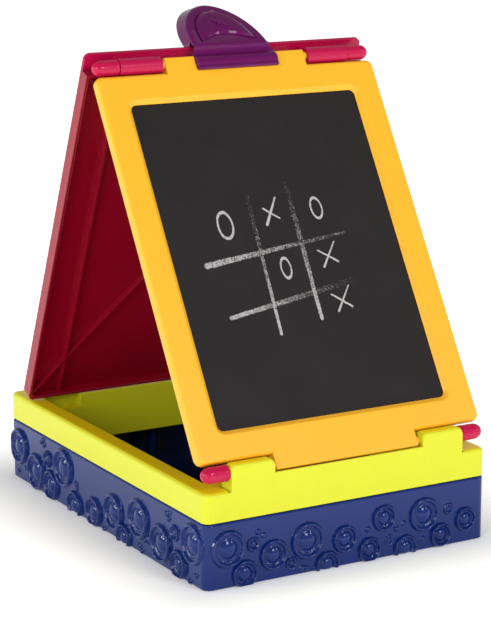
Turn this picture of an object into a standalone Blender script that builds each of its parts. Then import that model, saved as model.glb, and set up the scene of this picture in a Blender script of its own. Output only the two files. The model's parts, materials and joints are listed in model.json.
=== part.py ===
"""Kids' tabletop easel: storage base, chalkboard panel, rear panel and paper clip.

World frame in metres: X to the right along the front, Y from front to back, Z up.
The origin is the centre of the footprint on the floor.
Front panel frame: x across, y up the panel from the front hinge, z out of the board.
Rear panel frame: x across, y down the panel from the top hinge, z out of the outer face.
Both hinge axes lie in the middle of the front panel's thickness, AXIS_DEPTH in front of its back
plane, and the inner face of the rear panel lies AXIS_DEPTH behind them.
"""
import math
import bmesh
import bpy
from mathutils import Matrix, Vector

MM = 0.001
GAP = 0.3 * MM

# Base
WIDTH = 305 * MM
DEPTH = 420 * MM
FRONT = -DEPTH / 2
CORNER_R = 8 * MM
WALL = 3 * MM
SHELL_TOP = 62 * MM
RIM_TOP = 90 * MM
RIM_EDGE_R = 4 * MM
FRONT_WALL_TOP = 101 * MM
FRONT_WALL = 2.2 * MM
OPENING_X = 134 * MM
OPENING_FRONT = FRONT + 34 * MM
OPENING_BACK = FRONT + 374 * MM
SKIRT_BOTTOM = 40 * MM
POCKET_X = 93 * MM
POCKET_DEPTH = 10 * MM
POCKET_BOTTOM = 76 * MM

# Hinges
HINGE_Y = FRONT + 8.9 * MM
HINGE_Z = 105 * MM
LUG_R = 8.8 * MM
LUG_X = (80 * MM, 125 * MM)
LUG_CORNER_R = 5 * MM
LUG_EDGE_R = 3 * MM
PIN_HEAD_R = 7.7 * MM
PIN_HEAD_END = 151 * MM
PIN_R = 3.0 * MM
BORE_R = 3.3 * MM
PIN_DEPTH = 8 * MM
SLIT = 2 * MM
AXIS_DEPTH = 4.9 * MM  # both hinge axes lie in the middle of the front panel's thickness

# Front panel
LEAN = math.radians(58.9)
PANEL_LENGTH = 397.5 * MM
PANEL_T = 9.5 * MM
BARREL_R = 5.6 * MM
TAB_X = LUG_X[0] - 3.5 * MM
TAB_BOSS_R = 4.3 * MM
TAB_BOSS_END = LUG_X[0] - 0.5 * MM
NOTCH = 9.6 * MM
BOARD_X = 123 * MM
BOARD_Y = (37.5 * MM, 358 * MM)
BOARD_LIP = 4 * MM
BOARD_T = 2.4 * MM
BEZEL = 4.2 * MM
BEVEL_WIDTH = 4.5 * MM
LEDGE_Z = PANEL_T - BEZEL - GAP - BOARD_T

# Rear panel
REAR_LENGTH = PANEL_LENGTH - 8 * MM
REAR_T = 14 * MM
REAR_TOP = 7 * MM
PLATE_Z = 10.5 * MM
REAR_LUG_R = 8.2 * MM
RIB_Z = 4 * MM
RIB_T = 2.6 * MM
RIB_X = 116 * MM
FIRST_WALL = 10 * MM
SHEET_X = 128 * MM
SHEET_Y = (30 * MM, 366 * MM)
SHEET_T = 1.5 * MM

# Paper clip
CLIP_X = 44 * MM
AXLE_DROP = 2 * MM
AXLE_Z = 4.6 * MM
AXLE_R = 1.4 * MM
CLIP_BARREL_R = 4.4 * MM
RIDGE = (16.8 * MM, 6.6 * MM)  # foot of the tab's face, from the axle: up the panel and out of it
TAB_HALF = 40.2 * MM
TAB_LENGTH = 65 * MM
TAB_TILT = math.radians(28.4)  # the face leans back from the front panel
TAB_DRAW = Vector((0, 0.3165, -0.9486))  # the rim of the tab runs this way from its face
TAB_DEPTH = 21.9 * MM
TAB_EDGE = 2 * MM
RAIL_ROOM = 4.5 * MM  # room above and in front of the rear panel's rail
RAIL_GAP = 0.8 * MM  # room behind it

# Field raised on the clip's tab
FIELD_HALF = 29 * MM
FIELD_FOOT = 6.5 * MM
FIELD_HEIGHT = 47.5 * MM
FIELD_HOLLOW = 10 * MM
FIELD_RISE = 2.6 * MM
FIELD_TOP_SHARE = 0.82

# Relief on the base: (along the face, height, radius) in millimetres
FRONT_BUBBLES = [(-129, 37, 17.3), (-112, 11, 13), (-103, 37, 6.7), (-82, 24, 14.4), (-63, 12, 6.2),
                 (-46, 31, 17.3), (-25, 5, 12.5), (-6, 26, 13), (21, 11, 12), (37, 39, 12.5), (43, 16, 5.4),
                 (61, 6, 12.5), (82, 35, 16.3), (110, 36, 5.8), (101, 12, 11.5), (129, 23, 11.5)]
SIDE_BUBBLES = [(187, 36, 18.3), (148, 19, 19.2), (119, 40, 8.5), (83, 40, 19.9), (112, 14, 15.8),
                (57, 8, 14.6), (14, 13, 15.4), (-29, 25, 18.3), (-81, 33, 19.6), (-51, 6, 13.1), (-98, 18, 6),
                (-126, 22, 18.8), (-154, 40, 7.9), (-187, 39, 18.5), (-161, 12, 13.7)]
RIGHT_SCALE = 0.98  # the right-hand wall's relief is the left one's, drawn in and moved back
RIGHT_SHIFT = 3.8
RELIEF = 3.5 * MM
BUBBLE_SIDES = 12

SCREW_SPOTS = [(x, y) for x in (-142.2 * MM, 142.2 * MM) for y in (-148 * MM, 0, 148 * MM)]
SCREW_SPOTS += [(0, FRONT + 21 * MM), (0, FRONT + 396 * MM)]
BOSS_R = 5 * MM
SCREW_SEAT = 50 * MM

TOP_Y = HINGE_Y + PANEL_LENGTH * math.cos(LEAN)
TOP_Z = HINGE_Z + PANEL_LENGTH * math.sin(LEAN)
REAR_INNER = AXIS_DEPTH + GAP
REAR_LEAN = (math.acos((TOP_Z - RIM_TOP - 0.5 * MM) / math.hypot(REAR_LENGTH, REAR_INNER))
             - math.atan2(REAR_INNER, REAR_LENGTH))

ROUND = 24
SMALL_ROUND = 16


def clear_scene():
    for item in list(bpy.data.objects):
        bpy.data.objects.remove(item, do_unlink=True)


def material(name, colour, roughness, metallic=0.0):
    mat = bpy.data.materials.new(name)
    mat.use_nodes = True
    shader = mat.node_tree.nodes["Principled BSDF"]
    shader.inputs["Base Color"].default_value = (*colour, 1.0)
    shader.inputs["Roughness"].default_value = roughness
    shader.inputs["Metallic"].default_value = metallic
    return mat


def add_object(name, bm, mat=None, parent=None, smooth=False, level=0.0):
    """Object from a bmesh, under its parent and moved by level along the parent's z."""
    bmesh.ops.recalc_face_normals(bm, faces=bm.faces)
    mesh = bpy.data.meshes.new(name)
    bm.to_mesh(mesh)
    bm.free()
    obj = bpy.data.objects.new(name, mesh)
    bpy.context.scene.collection.objects.link(obj)
    if mat:
        mesh.materials.append(mat)
    if parent:
        obj.parent = parent
    obj.location.z = level
    if smooth:
        mesh.shade_smooth()
        mesh.set_sharp_from_angle(angle=math.radians(35))
    return obj


def rounded_rect(half_x, y0, y1, radius, steps=4):
    """Corner points of a rectangle with round corners, counter-clockwise."""
    centres = [(half_x - radius, y0 + radius, -90), (half_x - radius, y1 - radius, 0),
               (radius - half_x, y1 - radius, 90), (radius - half_x, y0 + radius, 180)]
    points = []
    for cx, cy, start in centres:
        for step in range(steps + 1):
            angle = math.radians(start + 90 * step / steps)
            points.append((cx + radius * math.cos(angle), cy + radius * math.sin(angle)))
    return points


def loft(bm, loops):
    """Closed solid through equal-length loops of 3-D points, capped at both ends."""
    rings = [[bm.verts.new(point) for point in loop] for loop in loops]
    count = len(rings[0])
    for low, high in zip(rings, rings[1:]):
        for i in range(count):
            j = (i + 1) % count
            bm.faces.new((low[i], low[j], high[j], high[i]))
    bm.faces.new(list(reversed(rings[0])))
    bm.faces.new(rings[-1])


def prism(points, z0, z1):
    """Extrusion along z of a 2-D outline."""
    bm = bmesh.new()
    loft(bm, [[(x, y, z) for x, y in points] for z in (z0, z1)])
    return bm


def bar(profile, x0, x1):
    """Extrusion along x of an outline given as (y, z) points."""
    bm = bmesh.new()
    loft(bm, [[(x, y, z) for y, z in profile] for x in (x0, x1)])
    return bm


def box(x0, x1, y0, y1, z0, z1):
    return prism([(x0, y0), (x1, y0), (x1, y1), (x0, y1)], z0, z1)


def circle(cy, cz, radius, count=ROUND, start=0.0, sweep=2 * math.pi):
    """Points on a circle or, with a sweep, on an arc that includes both ends."""
    full = abs(sweep) >= 2 * math.pi - 1e-9
    steps = count if full else count - 1
    return [(cy + radius * math.cos(start + sweep * i / steps),
             cz + radius * math.sin(start + sweep * i / steps)) for i in range(count)]


def turned(profile, count=ROUND):
    """Solid of revolution about x from (x, radius) points; zero radii close the ends."""
    bm = bmesh.new()
    rings = []
    for x, radius in profile:
        if radius == 0:
            rings.append([bm.verts.new((x, 0, 0))])
        else:
            rings.append([bm.verts.new((x, y, z)) for y, z in circle(0, 0, radius, count)])
    for low, high in zip(rings, rings[1:]):
        for i in range(count):
            j = (i + 1) % count
            corners = [low[i % len(low)], low[j % len(low)], high[j % len(high)], high[i % len(high)]]
            bm.faces.new(list(dict.fromkeys(corners)))
    return bm


def moved(bm, x=0.0, y=0.0, z=0.0):
    bmesh.ops.translate(bm, verts=bm.verts, vec=Vector((x, y, z)))
    return bm


def upright(profile, x=0.0, y=0.0, count=SMALL_ROUND):
    """Turned solid whose axis is parallel to z: (z, radius) points at the place x, y."""
    bm = turned(profile, count)
    bmesh.ops.rotate(bm, verts=bm.verts, cent=(0, 0, 0), matrix=Matrix.Rotation(-math.pi / 2, 3, "Y"))
    return moved(bm, x, y)


def tool(target, bm, suffix):
    """A hidden body for a Boolean, in the frame of the object that it works on."""
    obj = add_object(target.name + suffix, bm, parent=target.parent, level=target.location.z)
    obj.hide_render = True
    obj.display_type = "WIRE"
    return obj


def boolean(target, bodies, operation):
    """Union with, or subtraction of, a group of hidden bodies."""
    group = bpy.data.collections.new(target.name + "_" + operation.lower())
    bpy.context.scene.collection.children.link(group)
    for body in bodies:
        group.objects.link(body)
    mod = target.modifiers.new(operation.title(), "BOOLEAN")
    mod.operation = operation
    mod.operand_type = "COLLECTION"
    mod.collection = group
    mod.solver = "EXACT"


def cut(target, *bms):
    boolean(target, [tool(target, bm, "_cut") for bm in bms], "DIFFERENCE")


def join(target, *bms):
    boolean(target, [tool(target, bm, "_add") for bm in bms], "UNION")


def empty(name, location, angle, parent=None):
    obj = bpy.data.objects.new(name, None)
    bpy.context.scene.collection.objects.link(obj)
    obj.location = location
    obj.rotation_euler = (angle, 0, 0)
    obj.parent = parent
    return obj


def footprint(inset, steps=4):
    return rounded_rect(WIDTH / 2 - inset, FRONT + inset, -FRONT - inset, CORNER_R - inset, steps)


# Base ----------------------------------------------------------------------------------------

def bubble(centre, along, normal, height, radius):
    """Raised disc on a side wall, cut off at the bottom edge of the wall."""
    bm = bmesh.new()
    loops = []
    for depth, shrink in ((-0.5 * MM, 0), (RELIEF, 1.5 * MM)):
        loop = []
        for offset, rise in circle(0, height, radius - shrink, BUBBLE_SIDES):
            place = centre + along * offset + normal * depth
            loop.append((place.x, place.y, max(rise, 0.6 * MM)))
        loops.append(loop)
    loft(bm, loops)
    return bm


def relief():
    bodies = []
    for sign in (-1, 1):
        for place, height, radius in FRONT_BUBBLES:
            centre = Vector((place * MM, sign * DEPTH / 2, 0))
            bodies.append(bubble(centre, Vector((1, 0, 0)), Vector((0, sign, 0)), height * MM, radius * MM))
        for place, height, radius in SIDE_BUBBLES:
            if sign > 0:
                place = RIGHT_SCALE * place + RIGHT_SHIFT
            centre = Vector((sign * WIDTH / 2, place * MM, 0))
            bodies.append(bubble(centre, Vector((0, 1, 0)), Vector((sign, 0, 0)), height * MM, radius * MM))
    return bodies


def base_shell(mat):
    outline = footprint(0)
    low = footprint(1.5 * MM)
    bm = bmesh.new()
    loft(bm, [[(x, y, 0) for x, y in low], [(x, y, 1.5 * MM) for x, y in outline],
              [(x, y, SHELL_TOP) for x, y in outline]])
    obj = add_object("base_shell", bm, mat)
    join(obj, *relief())
    cut(obj, prism(footprint(WALL), WALL, SHELL_TOP + WALL))
    boss_top = SHELL_TOP - 2 * MM
    bosses = [upright([(MM, 0), (MM, BOSS_R), (boss_top, BOSS_R), (boss_top, 0)], x, y)
              for x, y in SCREW_SPOTS]
    join(obj, *bosses)
    bores = [upright([(-MM, 0), (-MM, 3.7 * MM), (SCREW_SEAT, 3.7 * MM), (SCREW_SEAT, 1.8 * MM),
                      (SHELL_TOP, 1.8 * MM), (SHELL_TOP, 0)], x, y) for x, y in SCREW_SPOTS]
    cut(obj, *bores)
    return obj


def rim_solid():
    """Full-size block with a rounded top edge."""
    bm = bmesh.new()
    loops = [[(x, y, SHELL_TOP + GAP) for x, y in footprint(0)]]
    for step in range(4):
        angle = math.radians(30 * step)
        inset = RIM_EDGE_R * (1 - math.cos(angle))
        level = RIM_TOP - RIM_EDGE_R * (1 - math.sin(angle))
        loops.append([(x, y, level) for x, y in footprint(inset)])
    loft(bm, loops)
    return bm


def lug_section(drop):
    """Side outline of a lug: upright front face, round back, and a top lowered by drop."""
    root = RIM_TOP - 8 * MM
    front_edge = (HINGE_Y - LUG_R + LUG_EDGE_R, HINGE_Z + LUG_R - LUG_EDGE_R - drop)
    points = [(HINGE_Y - LUG_R, root), (HINGE_Y + LUG_R, root)]
    points += circle(HINGE_Y, HINGE_Z - drop, LUG_R, 7, 0.0, math.pi / 2)
    return points + circle(*front_edge, LUG_EDGE_R, 4, math.pi / 2, math.pi / 2)


def lug_block(x0, x1):
    """Lug drawn along x, its top corners rounded as seen from the front."""
    corner = []
    for angle in (0, 30, 60, 90):
        inset = LUG_CORNER_R * (1 - math.cos(math.radians(angle)))
        corner.append((inset, LUG_CORNER_R * (1 - math.sin(math.radians(angle)))))
    stations = [(x0 + inset, drop) for inset, drop in corner]
    stations += [(x1 - inset, drop) for inset, drop in reversed(corner)]
    bm = bmesh.new()
    loft(bm, [[(x, y, z) for y, z in lug_section(drop)] for x, drop in stations])
    return bm


def collar_cutters():
    skirt = 3 * MM
    inner_x = OPENING_X + skirt
    hollow_top = RIM_TOP - WALL
    y_front, y_back = OPENING_FRONT - skirt, OPENING_BACK + skirt
    edge_x, edge_y = WIDTH / 2 - WALL, -FRONT - WALL
    yield box(-OPENING_X, OPENING_X, OPENING_FRONT, OPENING_BACK, 0, RIM_TOP + skirt)
    for sign in (-1, 1):
        side = sorted((sign * inner_x, sign * edge_x))
        yield box(*side, -edge_y + 4 * MM, edge_y - 4 * MM, 0, hollow_top)
    yield box(-inner_x + MM, inner_x - MM, -edge_y, y_front, 0, hollow_top)
    yield box(-inner_x + MM, inner_x - MM, y_back, edge_y, 0, hollow_top)


def storage_collar(mat):
    obj = add_object("storage_collar", rim_solid(), mat)
    skirt_x = OPENING_X + 3 * MM
    skirt_y = (OPENING_FRONT - 3 * MM, OPENING_BACK + 3 * MM)
    join(obj, box(-skirt_x, skirt_x, *skirt_y, SKIRT_BOTTOM, RIM_TOP - MM))
    cut(obj, *collar_cutters())
    lugs = [lug_block(*sorted((sign * LUG_X[0], sign * LUG_X[1]))) for sign in (-1, 1)]
    wall_end = LUG_X[0] + MM
    wall = box(-wall_end, wall_end, FRONT, FRONT + FRONT_WALL, RIM_TOP - 6 * MM, FRONT_WALL_TOP)
    bosses = [upright([(SHELL_TOP - 1.7 * MM, 0), (SHELL_TOP - 1.7 * MM, BOSS_R),
                       (RIM_TOP - MM, BOSS_R), (RIM_TOP - MM, 0)], x, y) for x, y in SCREW_SPOTS]
    blocks = []
    for sign in (-1, 1):
        side = sorted((sign * (POCKET_X - 3 * MM), sign * (OPENING_X + MM)))
        blocks.append(box(*side, OPENING_BACK + MM, OPENING_BACK + POCKET_DEPTH + 3 * MM,
                          POCKET_BOTTOM - 3 * MM, RIM_TOP - MM))
    join(obj, *lugs, wall, *bosses, *blocks)
    cutters = [upright([(SHELL_TOP - 3 * MM, 0), (SHELL_TOP - 3 * MM, 1.6 * MM), (78 * MM, 1.6 * MM),
                        (78 * MM, 0)], x, y) for x, y in SCREW_SPOTS]
    for sign in (-1, 1):
        side = sorted((sign * POCKET_X, sign * OPENING_X))
        cutters.append(box(*side, OPENING_BACK - 6 * MM, OPENING_BACK + POCKET_DEPTH, POCKET_BOTTOM,
                           RIM_TOP + MM))
        cutters.append(moved(turned([(sign * (LUG_X[0] - 5 * MM), 0), (sign * (LUG_X[0] - 5 * MM), BORE_R),
                                     (sign * (LUG_X[1] + 5 * MM), BORE_R), (sign * (LUG_X[1] + 5 * MM), 0)]),
                             0, HINGE_Y, HINGE_Z))
        side = sorted((sign * (LUG_X[1] + GAP), sign * (LUG_X[1] + GAP + SLIT)))
        cutters.append(box(*side, FRONT + 1.2 * MM, FRONT + 20 * MM, RIM_TOP - 6 * MM, RIM_TOP + MM))
    cut(obj, *cutters)
    return obj


def hinge_pin(name, sign, mat, parent):
    """Bullet-headed pin: the head stands outside the lug, the shank reaches the panel's tab."""
    face = LUG_X[1] + GAP
    nose = 8 * MM
    profile = [(face, 0), (face, PIN_HEAD_R - 1.0 * MM), (face + 1.0 * MM, PIN_HEAD_R),
               (PIN_HEAD_END - nose, PIN_HEAD_R)]
    for step in range(1, 5):
        angle = math.radians(90 * step / 4)
        profile.append((PIN_HEAD_END - nose + nose * math.sin(angle), max(PIN_HEAD_R * math.cos(angle), 0)))
    profile[-1] = (PIN_HEAD_END, 0)
    tip = TAB_BOSS_END - PIN_DEPTH
    shank = [(tip, 0), (tip, PIN_R - 0.6 * MM), (tip + 0.8 * MM, PIN_R), (face, PIN_R)]
    profile = shank + profile[1:]
    return add_object(name, turned([(sign * x, r) for x, r in profile]), mat, parent, smooth=True)


def collar_screws(mat):
    head_r, head_t, socket = 3.2 * MM, 2.2 * MM, 1.1 * MM
    seat = SCREW_SEAT - GAP
    for number, (x, y) in enumerate(SCREW_SPOTS, 1):
        profile = [(seat - head_t + 1.0 * MM, 0), (seat - head_t + 1.0 * MM, socket), (seat - head_t, socket),
                   (seat - head_t, head_r - 0.6 * MM), (seat - 0.6 * MM, head_r), (seat, head_r),
                   (seat, 1.3 * MM), (74 * MM, 1.3 * MM), (75.5 * MM, 0)]
        add_object(f"collar_screw_{number}", upright(profile, x, y, 12), mat, smooth=True)


# Front panel ---------------------------------------------------------------------------------

def frame_outline():
    """H-shaped outline: full width between the notches, narrow hinge tabs at both ends."""
    half, radius = WIDTH / 2, 7 * MM
    low, high = NOTCH, PANEL_LENGTH - NOTCH
    start, end = -2.0 * MM, PANEL_LENGTH + 2.0 * MM
    right = [(TAB_X, start), (TAB_X, low)]
    right += circle(half - radius, low + radius, radius, 5, -math.pi / 2, math.pi / 2)
    right += circle(half - radius, high - radius, radius, 5, 0.0, math.pi / 2)
    right += [(TAB_X, high), (TAB_X, end)]
    return right + [(-x, y) for x, y in reversed(right)]


def front_frame(mat, parent):
    obj = add_object("front_frame", prism(frame_outline(), GAP, PANEL_T), mat, parent, level=-AXIS_DEPTH)
    barrels = []
    for y in (0, PANEL_LENGTH):
        barrels.append(bar(circle(y, AXIS_DEPTH, BARREL_R), -TAB_X, TAB_X))
        for sign in (-1, 1):
            ends = sorted((sign * (TAB_X - MM), sign * TAB_BOSS_END))
            barrels.append(bar(circle(y, AXIS_DEPTH, TAB_BOSS_R), *ends))
    join(obj, *barrels)
    slope = bmesh.new()
    loops = []
    for grow, z in ((0, PANEL_T - BEZEL + 0.6 * MM), (BEVEL_WIDTH + MM, PANEL_T + 0.5 * MM)):
        loops.append([(x, y, z) for x, y in rounded_rect(BOARD_X + grow, BOARD_Y[0] - grow, BOARD_Y[1] + grow,
                                                         5 * MM + grow)])
    loft(slope, loops)
    cutters = [
        slope,
        prism(rounded_rect(BOARD_X, *BOARD_Y, 5 * MM), 2 * MM, PANEL_T + MM),
        box(-WIDTH / 2 + 3.5 * MM, WIDTH / 2 - 3.5 * MM, NOTCH + 4 * MM, PANEL_LENGTH - NOTCH - 4 * MM,
            -MM, LEDGE_Z),
        box(-BOARD_X - BOARD_LIP - GAP, BOARD_X + BOARD_LIP + GAP, BOARD_Y[0] - BOARD_LIP - GAP,
            BOARD_Y[1] + BOARD_LIP + GAP, -MM, PANEL_T - BEZEL),
        box(-CLIP_X - 0.5 * MM, CLIP_X + 0.5 * MM, PANEL_LENGTH - 8 * MM, PANEL_LENGTH + 20 * MM,
            -20 * MM, 20 * MM),
    ]
    for sign in (-1, 1):
        for y in (0, PANEL_LENGTH):
            ends = (sign * (TAB_BOSS_END - PIN_DEPTH - MM), sign * (TAB_BOSS_END + MM))
            cutters.append(moved(turned([(ends[0], 0), (ends[0], BORE_R), (ends[1], BORE_R), (ends[1], 0)]),
                                 0, y, AXIS_DEPTH))
        side = (sign * (CLIP_X - MM), sign * (CLIP_X + 7 * MM))
        cutters.append(moved(turned([(side[0], 0), (side[0], 1.7 * MM), (side[1], 1.7 * MM), (side[1], 0)],
                                    SMALL_ROUND), 0, PANEL_LENGTH - AXLE_DROP, AXLE_Z))
    cutters += [screw_hole(x, y) for x, y in retainer_spots()]
    cut(obj, *cutters)
    return obj


def chalkboard(mat, parent):
    top = PANEL_T - BEZEL - GAP
    outline = rounded_rect(BOARD_X + BOARD_LIP, BOARD_Y[0] - BOARD_LIP, BOARD_Y[1] + BOARD_LIP, 1 * MM, 2)
    return add_object("chalkboard", prism(outline, top - BOARD_T, top), mat, parent, level=-AXIS_DEPTH)


def retainer_spots():
    middle = (BOARD_Y[0] + BOARD_Y[1]) / 2
    return [(sign * (BOARD_X + BOARD_LIP + 3.6 * MM), y) for sign in (-1, 1)
            for y in (BOARD_Y[0] + 25 * MM, middle, BOARD_Y[1] - 25 * MM)]


def screw_hole(x, y):
    return upright([(2 * MM, 0), (2 * MM, 1.3 * MM), (8 * MM, 1.3 * MM), (8 * MM, 0)], x, y, 12)


def retainer_screws(mat, parent):
    """Wide-headed screws whose heads hold the edge of the chalkboard from behind."""
    seat = LEDGE_Z - 2 * GAP
    profile = [(seat - 0.8 * MM, 0), (seat - 0.8 * MM, 1.2 * MM), (seat - 1.8 * MM, 1.2 * MM),
               (seat - 1.8 * MM, 3.4 * MM), (seat - 0.8 * MM, 5.2 * MM), (seat, 5.2 * MM), (seat, 1.0 * MM),
               (7.4 * MM, 1.0 * MM), (7.4 * MM, 0)]
    for number, (x, y) in enumerate(retainer_spots(), 1):
        add_object(f"board_screw_{number}", upright(profile, x, y), mat, parent, smooth=True,
                   level=-AXIS_DEPTH)


# Paper clip ----------------------------------------------------------------------------------

def clip_section():
    """Side section of the clip about its axle, as (y, z): lip, neck and barrel."""
    lip = [(-8.4 * MM, 5.4 * MM), (-8.4 * MM, 7.4 * MM), (-6.8 * MM, 8.9 * MM), (-2 * MM, 9.6 * MM),
           (3.5 * MM, 9.2 * MM), (6 * MM, 7.4 * MM), (8.5 * MM, 4.6 * MM), (11.5 * MM, 3.8 * MM),
           (14.5 * MM, 5 * MM), RIDGE]
    back = [(18.2 * MM, 5 * MM), (18.2 * MM, 4.4 * MM), (12 * MM, 2 * MM), (7.5 * MM, 1.2 * MM)]
    barrel = circle(0, 0, CLIP_BARREL_R, 9, math.radians(20), math.radians(-230))
    return lip + back + barrel + [(-4.4 * MM, 4.9 * MM), (-5.5 * MM, 5.3 * MM)]


def clip_body():
    """The section drawn across the clip, narrowing from the neck up to the foot of the tab."""
    neck = 10 * MM
    slope = (CLIP_X - TAB_HALF) / (RIDGE[0] - neck)
    loops = []
    for sign in (-1, 1):
        loops.append([(sign * (CLIP_X - slope * max(y - neck, 0)), y, z) for y, z in clip_section()])
    bm = bmesh.new()
    loft(bm, loops)
    return bm


def tab_outline(inset=0.0, steps=16):
    """The tab's D shape: (across, up the face from its foot)."""
    squareness = 1.08
    points = []
    for step in range(steps + 1):
        angle = math.pi * step / steps
        across = math.copysign(abs(math.cos(angle)) ** squareness, math.cos(angle))
        points.append((across * (TAB_HALF - inset), inset + (TAB_LENGTH - 2 * inset) * math.sin(angle)))
    return points


def on_face(points, height=0.0, depth=0.0):
    """Place points of the tab's face, raised above it or sunk along the rim."""
    along = Vector((0, math.cos(TAB_TILT), -math.sin(TAB_TILT)))
    normal = Vector((0, math.sin(TAB_TILT), math.cos(TAB_TILT)))
    foot = Vector((0, *RIDGE)) + normal * height + TAB_DRAW * depth
    return [tuple(foot + along * up + Vector((across, 0, 0))) for across, up in points]


def tab_solid(steps):
    """Solid through tab outlines given as (inset, depth)."""
    bm = bmesh.new()
    loft(bm, [on_face(tab_outline(inset), depth=depth) for inset, depth in steps])
    return bm


def raised_field(steps=16):
    """Field on the tab's face: arched above, with a hollowed lower edge."""
    upper, lower = [], []
    for step in range(steps + 1):
        angle = math.pi * step / steps
        upper.append((FIELD_HALF * math.cos(angle), FIELD_FOOT + FIELD_HEIGHT * math.sin(angle)))
    for step in range(1, steps // 2):
        share = 4 * step / steps - 1
        lower.append((FIELD_HALF * share, FIELD_FOOT + FIELD_HOLLOW * (1 - share ** 2)))
    middle = FIELD_FOOT + 2.2 * FIELD_HOLLOW
    bm = bmesh.new()
    loops = []
    for share, height in ((1, -MM), (1, 0), (FIELD_TOP_SHARE, FIELD_RISE)):
        loops.append(on_face([(x * share, middle + (y - middle) * share) for x, y in upper + lower], height))
    loft(bm, loops)
    return bm


def rail_channel():
    """Room under the tab for the rear panel's rail, with the clip shut or open."""
    fold = math.pi / 2 - LEAN + REAR_LEAN
    up = Vector((0, math.cos(fold), math.sin(fold)))
    out = Vector((0, math.sin(fold), -math.cos(fold)))
    hinge = Vector((0, AXLE_DROP, AXIS_DEPTH - AXLE_Z))
    low, top = hinge - up * 13 * MM, hinge + up * (REAR_TOP + RAIL_ROOM)
    inner = out * (AXIS_DEPTH + PLATE_Z - RAIL_ROOM)
    outer = out * (AXIS_DEPTH + REAR_T + RAIL_GAP)
    corners = [low + inner, low + outer, top + outer, top + inner]
    return bar([(corner.y, corner.z) for corner in corners], -TAB_HALF - 5 * MM, TAB_HALF + 5 * MM)


def clip_lever(mat, parent):
    """Paper clip: lip and barrel, neck, and a thumb tab with a channel over the rail."""
    obj = add_object("clip_lever", clip_body(), mat, parent)
    join(obj, tab_solid(((0, TAB_DEPTH), (0, TAB_EDGE), (TAB_EDGE, 0))), raised_field())
    side, bore = CLIP_X + MM, AXLE_R + GAP
    hole = turned([(-side, 0), (-side, bore), (side, bore), (side, 0)], SMALL_ROUND)
    spring_room = box(-9 * MM, 9 * MM, -6.5 * MM, 5.5 * MM, -8 * MM, 4.2 * MM)
    cut(obj, hole, spring_room, rail_channel())
    return obj


def clip_axle(mat, parent):
    end = CLIP_X + 6 * MM
    edge = 0.4 * MM
    profile = [(-end, 0), (-end, AXLE_R - edge), (edge - end, AXLE_R), (end - edge, AXLE_R),
               (end, AXLE_R - edge), (end, 0)]
    return add_object("clip_axle", turned(profile, SMALL_ROUND), mat, parent, smooth=True)


def clip_spring(mat, parent):
    """Torsion spring: a coil round the axle and two straight legs."""
    wire, mean, turns, pitch, per_turn = 0.45 * MM, 2.6 * MM, 5, 1.5 * MM, 12
    start_x = -pitch * turns / 2
    path = [Vector((start_x, -3.5 * MM, -mean))]
    for step in range(turns * per_turn + per_turn // 2 + 1):
        angle = -math.pi / 2 + 2 * math.pi * step / per_turn
        place = (start_x + pitch * step / per_turn, mean * math.cos(angle), mean * math.sin(angle))
        path.append(Vector(place))
    path.append(path[-1] + Vector((0, -3.2 * MM, 0)))
    curve = bpy.data.curves.new("clip_spring", "CURVE")
    curve.dimensions = "3D"
    curve.bevel_depth = wire
    curve.bevel_resolution = 1
    curve.use_fill_caps = True
    spline = curve.splines.new("POLY")
    spline.points.add(len(path) - 1)
    for point, place in zip(spline.points, path):
        point.co = (*place, 1.0)
    curve.materials.append(mat)
    obj = bpy.data.objects.new("clip_spring", curve)
    bpy.context.scene.collection.objects.link(obj)
    obj.parent = parent
    return obj


# Rear panel ----------------------------------------------------------------------------------

def diagonal(sign):
    """Brace from one bottom corner to the opposite top corner."""
    start = Vector((sign * (WIDTH / 2 - 3.2 * MM), REAR_LENGTH - 3 * MM))
    end = Vector((-sign * (WIDTH / 2 - 3.2 * MM), FIRST_WALL + 2 * MM))
    side = (end - start).normalized().orthogonal() * RIB_T / 2
    return prism([tuple(start - side), tuple(start + side), tuple(end + side), tuple(end - side)],
                 RIB_Z, PLATE_Z + 0.5 * MM)


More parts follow.
